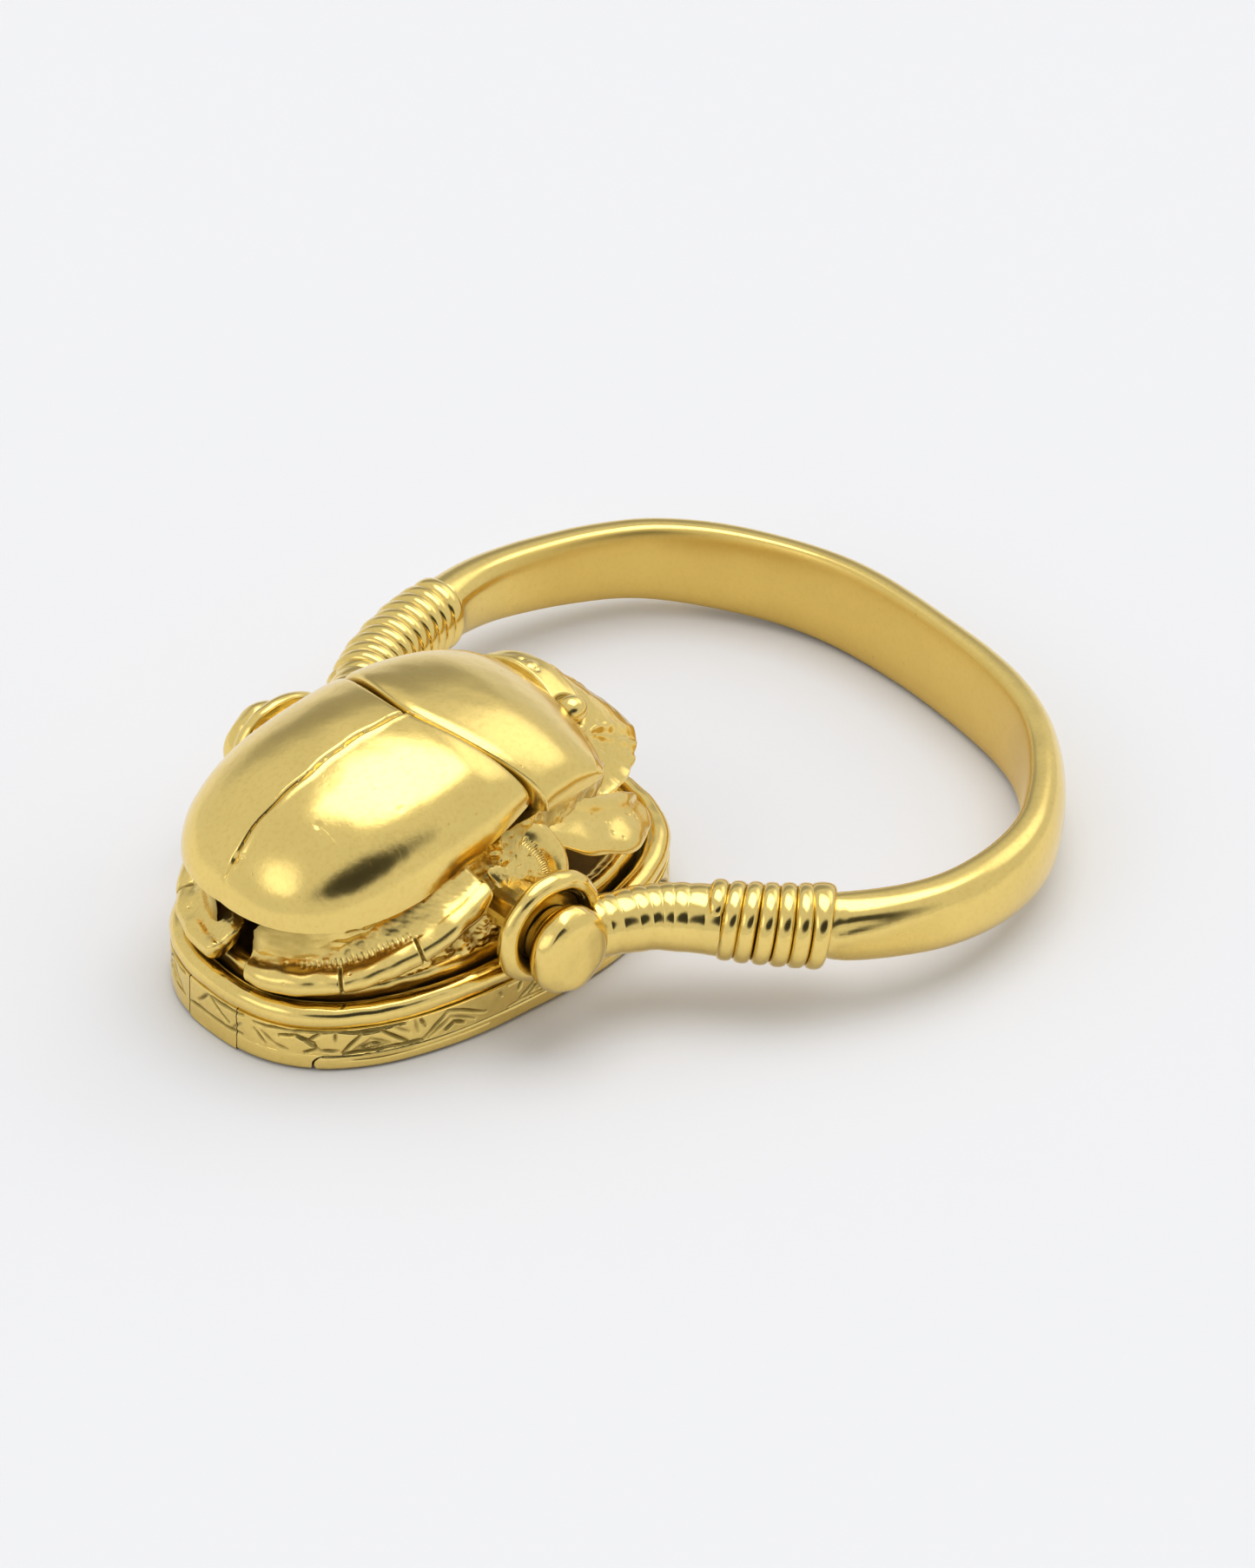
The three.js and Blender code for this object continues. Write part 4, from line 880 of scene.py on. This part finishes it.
# A leg's section from its rounded lower rim to the thin edge under the body: [half widths, half thicknesses]
LEG_SECTION = [
    (-1.02, -0.4), (-1.1, 0.25), (-1.0, 0.78), (-0.72, 1.0), (-0.42, 0.86), (-0.16, 0.56), (0.15, 0.46),
    (0.6, 0.45), (1.05, 0.4), (1.45, 0.15), (1.5, -0.25), (1.1, -0.7), (0.2, -0.9), (-0.6, -0.95),
]
LEG_STATIONS = 380
LEG_PITS = 26


def make_leg(rows, side, slant, seed, stipple, nicks, bumps):
    """A broad leg with a rounded rim. Gives its rings and a mark that darkens its pits."""
    rows = through(rows, np.linspace(0, 1, LEG_STATIONS))
    line = rows[:, :3] * np.array([BOX_HALF_LENGTH, BOX_HALF_WIDTH, BACK_RISE])
    along = unit(np.gradient(line, axis=0))
    face = unit(line * np.array([1 / BOX_HALF_LENGTH**2, 1 / BOX_HALF_WIDTH**2, 0])) * math.sin(slant)
    face[:, 2] = math.cos(slant)
    over = unit(face - along * (face * along).sum(axis=1, keepdims=True))
    across = np.cross(along, over)
    section = filled(softened(LEG_SECTION, 0.22), 0.07)
    a, b = section[None, :, 0, None], section[None, :, 1, None]
    place = np.arange(LEG_STATIONS)
    close = np.sqrt(1 - (1 - np.clip(place / 34, 0, 1)) ** 2 * 0.98)
    close *= np.sqrt(1 - (1 - np.clip((LEG_STATIONS - 1 - place) / 9, 0, 1)) ** 2 * 0.6)
    half, thick = rows[:, 3][:, None, None] * BACK_RISE, rows[:, 4][:, None, None] * BACK_RISE
    spread = across[:, None, :] * a * half + over[:, None, :] * b * thick
    rings = line[:, None, :] + spread * close[:, None, None]
    normals = normals_of(rings, False)
    rings = uneven(rings, normals, (bumps, 40 * bumps, seed), (0.004, 0.6, seed + 1))
    a, b, place = a[..., 0], b[..., 0], place[:, None]
    upper = (a > -0.25) & (a < 1.3) & (b > 0.1)
    ticks = np.clip(np.sin(place * 0.9), 0, 1) * bell(a, -0.05, 0.1) * upper
    worn = ramp(np.sin(place * 0.021 + seed), -0.3, 0.4)
    grain = stipple * upper * (0.35 + 0.65 * worn) * np.clip(ripple(rings, 0.16, seed + 2), -0.2, 1)
    cut = 0.03 * ticks * stipple * worn + 0.008 * grain
    for nick in nicks:
        cut = cut + 0.09 * bell(place / LEG_STATIONS + 0.01 * a, nick, 0.0045) * (a < -0.2)
    rings -= normals * cut[..., None]
    rng = np.random.default_rng(seed)
    picks = rng.integers(12, LEG_STATIONS - 12, LEG_PITS), rng.integers(0, rings.shape[1], LEG_PITS)
    sizes = rng.uniform(0.03, 0.06, LEG_PITS), rng.uniform(0.01, 0.035, LEG_PITS)
    rings = dented(rings, normals, np.column_stack([rings[picks], *sizes]))
    return rings * np.array([1, -side, 1]), np.clip(cut / 0.05, 0, 0.8)


# Rows, slant, seed, how stippled it is, where its joints are cut and how uneven it is
LEGS = {
    "rear": (REAR_LEG, 0.75, 41, 1.0, (0.36, 0.62), 0.03), "middle": (MIDDLE_LEG, 0.9, 43, 0.9, (0.7,), 0.035),
    "front": (FRONT_LEG, 0.6, 45, 0.15, (), 0.045),
}
for side_name, side in (("right", -1), ("left", 1)):
    for leg_name, (rows, slant, seed, *habits) in LEGS.items():
        # The right rear leg ends before the tail
        own_rows = rows[:-1] if (side_name, leg_name) == ("right", "rear") else rows
        rings, mark = make_leg(own_rows, side, slant, seed + 10 * (side + 1), *habits)
        piece(f"{side_name}_{leg_name}_leg", [shell(rings)], "bezel", cast, crease=60, marks={"cut": mark})


# ---- hoop ----

HOOP_ROWS = np.array([
    [0.07, -0.563], [0.124, -0.59], [0.18, -0.631], [0.245, -0.735], [0.308, -0.848], [0.41, -0.985],
    [0.532, -1.06], [0.663, -1.045], [0.783, -0.942], [0.949, -0.579], [1, -0.099], [0.977, 0.385],
    [0.831, 0.779], [0.586, 0.921], [0.436, 0.893], [0.356, 0.845], [0.28, 0.78], [0.199, 0.683],
    [0.129, 0.596], [0.07, 0.563],
]) * np.array([HOOP_REACH, HOOP_HALF_SPAN])


def hoop_curve(steps=60):
    """The middle line of the hoop in its own plane: the solids' centripetal curve, point by point."""
    rows = np.vstack([2 * HOOP_ROWS[0] - HOOP_ROWS[1], HOOP_ROWS, 2 * HOOP_ROWS[-1] - HOOP_ROWS[-2]])
    t = np.linspace(0, 1, steps, endpoint=False)[:, None]
    line = []
    for p0, p1, p2, p3 in zip(rows, rows[1:], rows[2:], rows[3:]):
        d0, d1, d2 = (np.linalg.norm(b - a) ** 0.5 for a, b in ((p0, p1), (p1, p2), (p2, p3)))
        first = ((p1 - p0) / d0 - (p2 - p0) / (d0 + d1) + (p2 - p1) / d1) * d1
        last = ((p2 - p1) / d1 - (p3 - p1) / (d1 + d2) + (p3 - p2) / d2) * d1
        line.append(stretch(t, p1, first, p2, last))
    return np.concatenate([*line, rows[-2:-1]])


HOOP_LINE = hoop_curve()
HOOP_AT = np.concatenate([[0], np.cumsum(np.linalg.norm(np.diff(HOOP_LINE, axis=0), axis=1))])
HOOP_LENGTH = HOOP_AT[-1]
HOOP_START = SWIVEL_Z - HOOP_DROP
# The tilt at which the far edge of the band rests on the table
HOOP_TILT = math.asin(HOOP_START / math.hypot(HOOP_REACH, HOOP_WIDTH / 2))
HOOP_TILT -= math.atan(HOOP_WIDTH / 2 / HOOP_REACH)


def dipped(points):
    """From the hoop's own plane to the part's frame."""
    x, y, z = points[..., 0], points[..., 1], points[..., 2]
    c, s = math.cos(HOOP_TILT), math.sin(HOOP_TILT)
    return spots(x * c + z * s + SWIVEL_X, y, z * c - x * s + HOOP_START)


def on_hoop(distances):
    return np.stack([np.interp(distances, HOOP_AT, HOOP_LINE[:, k]) for k in (0, 1)], axis=-1)


def hoop_frames(distances):
    """Centres and the two directions across at distances along the hoop."""
    step = 0.05
    along = unit(on_hoop(distances + step) - on_hoop(distances - step))
    across = spots(along[:, 1], -along[:, 0], 0)
    return np.pad(on_hoop(distances), ((0, 0), (0, 1))), across, np.broadcast_to([0, 0, 1.0], across.shape)


def from_end(distances):
    """Distance from the nearer end, that of its shoulder, the arm's radius and the share past the shoulder."""
    right = distances < HOOP_LENGTH / 2
    end = np.where(right, distances, HOOP_LENGTH - distances)
    shoulder, arm = (np.where(right, both["right"], both["left"]) for both in (SHOULDER, ARM_RADIUS))
    return end, shoulder, arm, (end - shoulder) / (HOOP_LENGTH / 2 - shoulder)


def arm_radius(distances):
    end, shoulder, arm, _ = from_end(distances)
    return NECK_RADIUS + (arm - NECK_RADIUS) * np.clip(end / shoulder, 0, 1)


def make_hoop():
    """Round arms that widen into a band, with a fold past each shoulder. Gives its rings and its matt mark."""
    # Closer stations on the arms and the folds than along the band
    distances = np.concatenate([
        np.linspace(0.2, 10, 110, endpoint=False), np.linspace(10, HOOP_LENGTH - 11, 260, endpoint=False),
        np.linspace(HOOP_LENGTH - 11, HOOP_LENGTH - 0.2, 120),
    ])
    end, shoulder, _, beyond = from_end(distances)
    grow = ramp(end, shoulder - 0.55, shoulder - 0.05)
    widen = np.sin(np.clip(beyond, 0, 1) * math.pi / 2)
    core = arm_radius(distances)
    half = core + ((SHOULDER_WIDTH + (HOOP_WIDTH - SHOULDER_WIDTH) * widen) / 2 - core) * grow
    full = SHOULDER_THICKNESS + (HOOP_THICKNESS - SHOULDER_THICKNESS) * np.sqrt(widen)
    thick = (2 * core + (full - 2 * core) * grow)[:, None]
    flat = (grow * widen**0.3)[:, None]
    outward = thick * (0.5 + 0.12 * flat)
    angle = around(72)[None, :]
    c, s = np.cos(angle), np.sin(angle)
    a = np.where(c > 0, outward, thick - outward) * signed_power(c, 1 - np.where(c > 0, 0.2, 0.55) * flat)
    b = half[:, None] * signed_power(s, 1 - 0.2 * flat)
    centre, across, over = hoop_frames(distances)
    rings = dipped(centre[:, None, :] + across[:, None, :] * a[..., None] + over[:, None, :] * b[..., None])
    normals = normals_of(rings, False)
    rings = uneven(rings, normals, (0.012, 5.0, 51), (0.003, 1.6, 52))

    past = (end - shoulder)[:, None]
    fold = math.radians(12) + math.radians(11) * np.clip(past, 0, 3.6) + 0.02 * np.sin(past * 5)
    shown = ramp(past, -0.3, -0.1) * (1 - ramp(past, 1.0, 4.0))
    off = (angle + math.pi) % TURN - math.pi - fold
    groove = bell(off, 0.16, 0.15) * (1 - ramp(past, 0.1, 1.5))
    below = ramp(-off, 0.1, 0.5) * ramp(off + fold, -1.2, -0.5)
    rings += normals * (shown * (0.018 * bell(off, -0.12, 0.13) - 0.03 * groove - 0.045 * below))[..., None]
    return rings, 0.9 * ramp(-c, 0.1, 0.5) * ramp(past, 0.5, 4) + 0.5 * shown * below


def tube(line, high, wide, out):
    """A wire along a line, with a half height and half width at each point. Out is a direction across it."""
    along = unit(np.gradient(line, axis=0))
    side = unit(np.cross(along, out))
    angle = around(24)[None, :, None]
    high, wide = high[:, None, None], wide[:, None, None]
    a, b = signed_power(np.cos(angle), 0.85), signed_power(np.sin(angle), 0.8)
    return line[:, None, :] + np.cross(side, along)[:, None, :] * a * high + side[:, None, :] * b * wide


def make_winding(name):
    """The thick wire on an arm, its turns lying close. Its last turn is hammered wider."""
    hand = 1 if name == "right" else -1
    turns = TURNS[name]
    share = np.linspace(0, turns, int(turns * 52))
    end = SHOULDER[name] - 0.3 - (turns - share) * WIRE_PITCH
    distances = end if name == "right" else HOOP_LENGTH - end
    centre, across, over = hoop_frames(distances)
    angle = (share * TURN * hand + 0.6)[:, None]
    out = across * np.cos(angle) + over * np.sin(angle)
    sag = 0.012 * np.sin(share * 9.1) + 0.01 * np.sin(share * 3.7 + 2)
    radius = arm_radius(distances) + WIRE_REACH - WIRE_RADIUS + sag
    taper = np.clip(np.minimum(share, turns - share) / 0.08, 0, 1) ** 0.5
    high = WIRE_RADIUS * (0.45 + 0.55 * taper)
    wide = high * (1.06 + (0.55 if name == "right" else 0.2) * ramp(share, turns - 0.55, turns - 0.25))
    return dipped(tube(centre + out * radius[:, None], high, wide, out))


def make_binding(name):
    """The fine binding beside a cup: close turns of thin wire, worn smooth on the outside."""
    end = np.linspace(0.12, SHOULDER[name] - 0.1 - TURNS[name] * WIRE_PITCH, 150)
    distances = end if name == "right" else HOOP_LENGTH - end
    centre, across, over = hoop_frames(distances)
    share = ((end - end[0]) / (end[-1] - end[0]))[:, None]
    angle = around(64)[None, :]
    turn = share * BINDING_TURNS + 0.1 * np.sin(angle + 1) + 0.12 * np.sin(share * 11)
    groove = 1 - np.abs(np.sin(turn * math.pi)) ** 0.55
    worn = 0.2 + 0.8 * ramp(np.sin(angle), 0.1, 0.8)
    radius = arm_radius(distances)[:, None] + 0.26 + 0.03 * share + 0.08 * np.cos(angle) * (1 - share)
    radius += 0.01 * np.sin(share * 21) - 0.035 * groove * worn
    radius[[0, -1]] -= 0.05
    out = across[:, None, :] * np.cos(angle)[..., None] + over[:, None, :] * np.sin(angle)[..., None]
    return dipped(centre[:, None, :] + out * radius[..., None])


def make_cup(side, seed):
    """A dished cup with a rolled rim, beaten a little out of round."""
    bore, floor, lip = 0.47, CUP_FACE - 0.34, CUP_LIP * 0.88
    angle = np.linspace(-0.6, math.pi + 0.35, 16)
    rim = np.stack([CUP_RADIUS - lip + lip * np.cos(angle), CUP_FACE - lip + lip * np.sin(angle)], axis=-1)
    corners = np.concatenate([
        [[bore, CUP_BACK], [CUP_RADIUS * 0.66, CUP_BACK], [CUP_RADIUS * 0.78, CUP_BACK + 0.05]], rim,
        [[CUP_RADIUS - 2 * lip - 0.04, floor + 0.05], [CUP_RADIUS - 2 * lip - 0.16, floor], [bore, floor]],
    ])
    profile, turn = filled(corners, 0.09)[None], around(128)[:, None]
    x = SWIVEL_X - side * 0.12 + profile[..., 0] * np.cos(turn)
    z = 0.94 * profile[..., 0] * np.sin(turn)
    rings = spots(x, side * (profile[..., 1] + CUP_SHIFT), SWIVEL_Z + 0.03 + z)
    beaten = 0.03 * ripple(rings, 2.2, seed) + 0.012 * ripple(rings, 0.7, seed + 1)
    beaten *= ramp(np.hypot(x - SWIVEL_X, 0.03 + z), 1.0, 1.5)
    return rings + normals_of(rings, True) * beaten[..., None]


def make_rivet(side, seed):
    """A hammered, flattened head that has sagged below the middle of the cup."""
    face = CUP_FACE + CUP_SHIFT
    angle = np.linspace(0, math.pi / 2 - 0.02, 30)
    domed = np.stack([RIVET_RADIUS * np.cos(angle) ** 0.55, 0.5 + 0.55 * np.sin(angle)], axis=-1)
    neck = [[0.02, -0.29], [0.86, -0.29], [0.88, -0.19], [0.95, 0], [1.08, 0.13], [1.2, 0.26]]
    profile = np.concatenate([neck, domed])
    turn = around(120)[None, :]
    middle = np.array([SWIVEL_X - side * 0.15, side * (face + 0.4), SWIVEL_Z - 0.33])
    rings = spots(
        middle[0] + profile[:, :1] * np.cos(turn), side * (face + profile[:, 1:]),
        middle[2] + 1.07 * profile[:, :1] * np.sin(turn),
    )
    rng = np.random.default_rng(seed)
    for _ in range(HAMMER_BLOWS):
        way = rng.normal(size=3)
        way[1] = side * abs(way[1]) * 0.9
        way /= np.linalg.norm(way)
        reach = (rings - middle) @ way
        past = np.maximum(reach - np.quantile(reach, 0.97), 0)
        rings = rings - past[..., None] * way * 0.55
    return uneven(rings, normals_of(rings, False), (0.012, 0.9, seed + 3))


hoop_rings, hoop_matt = make_hoop()
piece("hoop", [shell(hoop_rings)], "shank", satin, marks={"matt": hoop_matt})
for side_name, side in (("right", -1), ("left", 1)):
    piece(f"{side_name}_wire_winding", [shell(make_winding(side_name))], "shank", fine_polish)
    piece(f"{side_name}_fine_binding", [shell(make_binding(side_name))], "shank", fine_polish, crease=60)
    piece(f"{side_name}_terminal_cup", [shell(make_cup(side, 61 + side), True)], "shank", polished, crease=60)
    piece(f"{side_name}_rivet_head", [shell(make_rivet(side, 71 + side))], "shank", polished, crease=60)

# The CAD nodes that stay get their finishes
# The base plate and the tube saddles take the dark brown that paints the shade in the hollows
for node_name, finish in {
    "base_plate": shade_brown, "heel_plate": polished, "lid_plate": polished, "lid_snap_ring": satin,
    "lid_hinge_pin": polished, "pin_tube": cast, "swivel_pin": satin,
    "right_tube_saddle": shade_brown, "left_tube_saddle": shade_brown,
}.items():
    for own_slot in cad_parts[node_name].material_slots:
        own_slot.material = finish


# ---- floor, light and camera ----

def lay_floor():
    """A pale card, 3 m wide, just under the ring."""
    half = 1.5
    mesh = bpy.data.meshes.new("floor")
    mesh.from_pydata([(-half, -half, 0), (half, -half, 0), (half, half, 0), (-half, half, 0)], [], [(0, 1, 2, 3)])
    floor = bpy.data.objects.new("floor", mesh)
    floor.location.z = -0.02 * MM
    bpy.context.collection.objects.link(floor)
    material = bpy.data.materials.new("pale card")
    material.use_nodes = True
    finish = Finish(material.node_tree)
    card = finish.add("ShaderNodeBsdfPrincipled", None, {
        "Base Color": [0.825, 0.82, 0.812, 1], "Roughness": 0.9, "Specular IOR Level": 0.0,
    })
    finish.end("ShaderNodeOutputMaterial", card)
    mesh.materials.append(material)


def window(finish, way, azimuth, elevation, half_wide, half_tall, soft, square=False):
    """How far a direction lies inside a patch of the studio, in degrees: 1 inside, 0 outside."""
    a, e = math.radians(azimuth), math.radians(elevation)
    front = Vector((math.cos(a) * math.cos(e), math.sin(a) * math.cos(e), math.sin(e)))
    wide = Vector((-math.sin(a), math.cos(a), 0))
    tall = front.cross(wide)
    dots = [
        finish.add("ShaderNodeVectorMath", {"operation": "DOT_PRODUCT"}, {0: way, 1: axis}, out=1)
        for axis in (front, wide / math.sin(math.radians(half_wide)), tall / math.sin(math.radians(half_tall)))
    ]
    u, v = dots[1] * dots[1], dots[2] * dots[2]
    reach = u * u + v * v if square else u + v
    return (1 - finish.between(1 - soft, 1 + soft, reach)) * finish.between(0.0, 0.2, dots[0])


def light_studio():
    """A pale room with a large soft light overhead, two lesser ones and two darker patches."""
    world = bpy.data.worlds.new("studio")
    bpy.context.scene.world = world
    world.use_nodes = True
    finish = Finish(world.node_tree)
    way = finish.add("ShaderNodeTexCoord", out=0)
    overhead = window(finish, way, azimuth=20, elevation=76, half_wide=24, half_tall=20, soft=0.7, square=True)
    glow = window(finish, way, azimuth=174, elevation=34, half_wide=16, half_tall=12, soft=0.8)
    side = window(finish, way, azimuth=4, elevation=38, half_wide=20, half_tall=13, soft=0.8)
    gap = window(finish, way, azimuth=-110, elevation=32, half_wide=28, half_tall=16.5, soft=0.45)
    wedge = window(finish, way, azimuth=60, elevation=20, half_wide=26, half_tall=12, soft=0.8)
    room = 0.755 + overhead * 2.2 + glow * 0.8 + side * 0.8
    level = room * (1 - gap * 0.95) * (1 - wedge * 0.5)
    sky = finish.add("ShaderNodeBackground", None, {"Color": [0.985, 0.995, 1.03, 1], "Strength": level})
    finish.end("ShaderNodeOutputWorld", sky)


def set_camera():
    """The photograph's view."""
    azimuth, elevation = math.radians(CAMERA_AZIMUTH), math.radians(CAMERA_ELEVATION)
    back = Vector((
        math.sin(azimuth) * math.cos(elevation), -math.cos(azimuth) * math.cos(elevation), math.sin(elevation),
    ))
    right = Vector((math.cos(azimuth), math.sin(azimuth), 0))
    lens = bpy.data.cameras.new("camera")
    lens.sensor_width = 36
    lens.lens = CAMERA_LENS
    lens.clip_start = 0.01
    lens.shift_x, lens.shift_y = CAMERA_SHIFT
    camera = bpy.data.objects.new("camera", lens)
    bpy.context.collection.objects.link(camera)
    turn = Matrix((right, back.cross(right), back)).transposed().to_4x4()
    camera.matrix_world = Matrix.Translation(back * CAMERA_DISTANCE * MM) @ turn
    bpy.context.scene.camera = camera


lay_floor()
light_studio()
set_camera()
bpy.context.scene.view_settings.view_transform = "Standard"
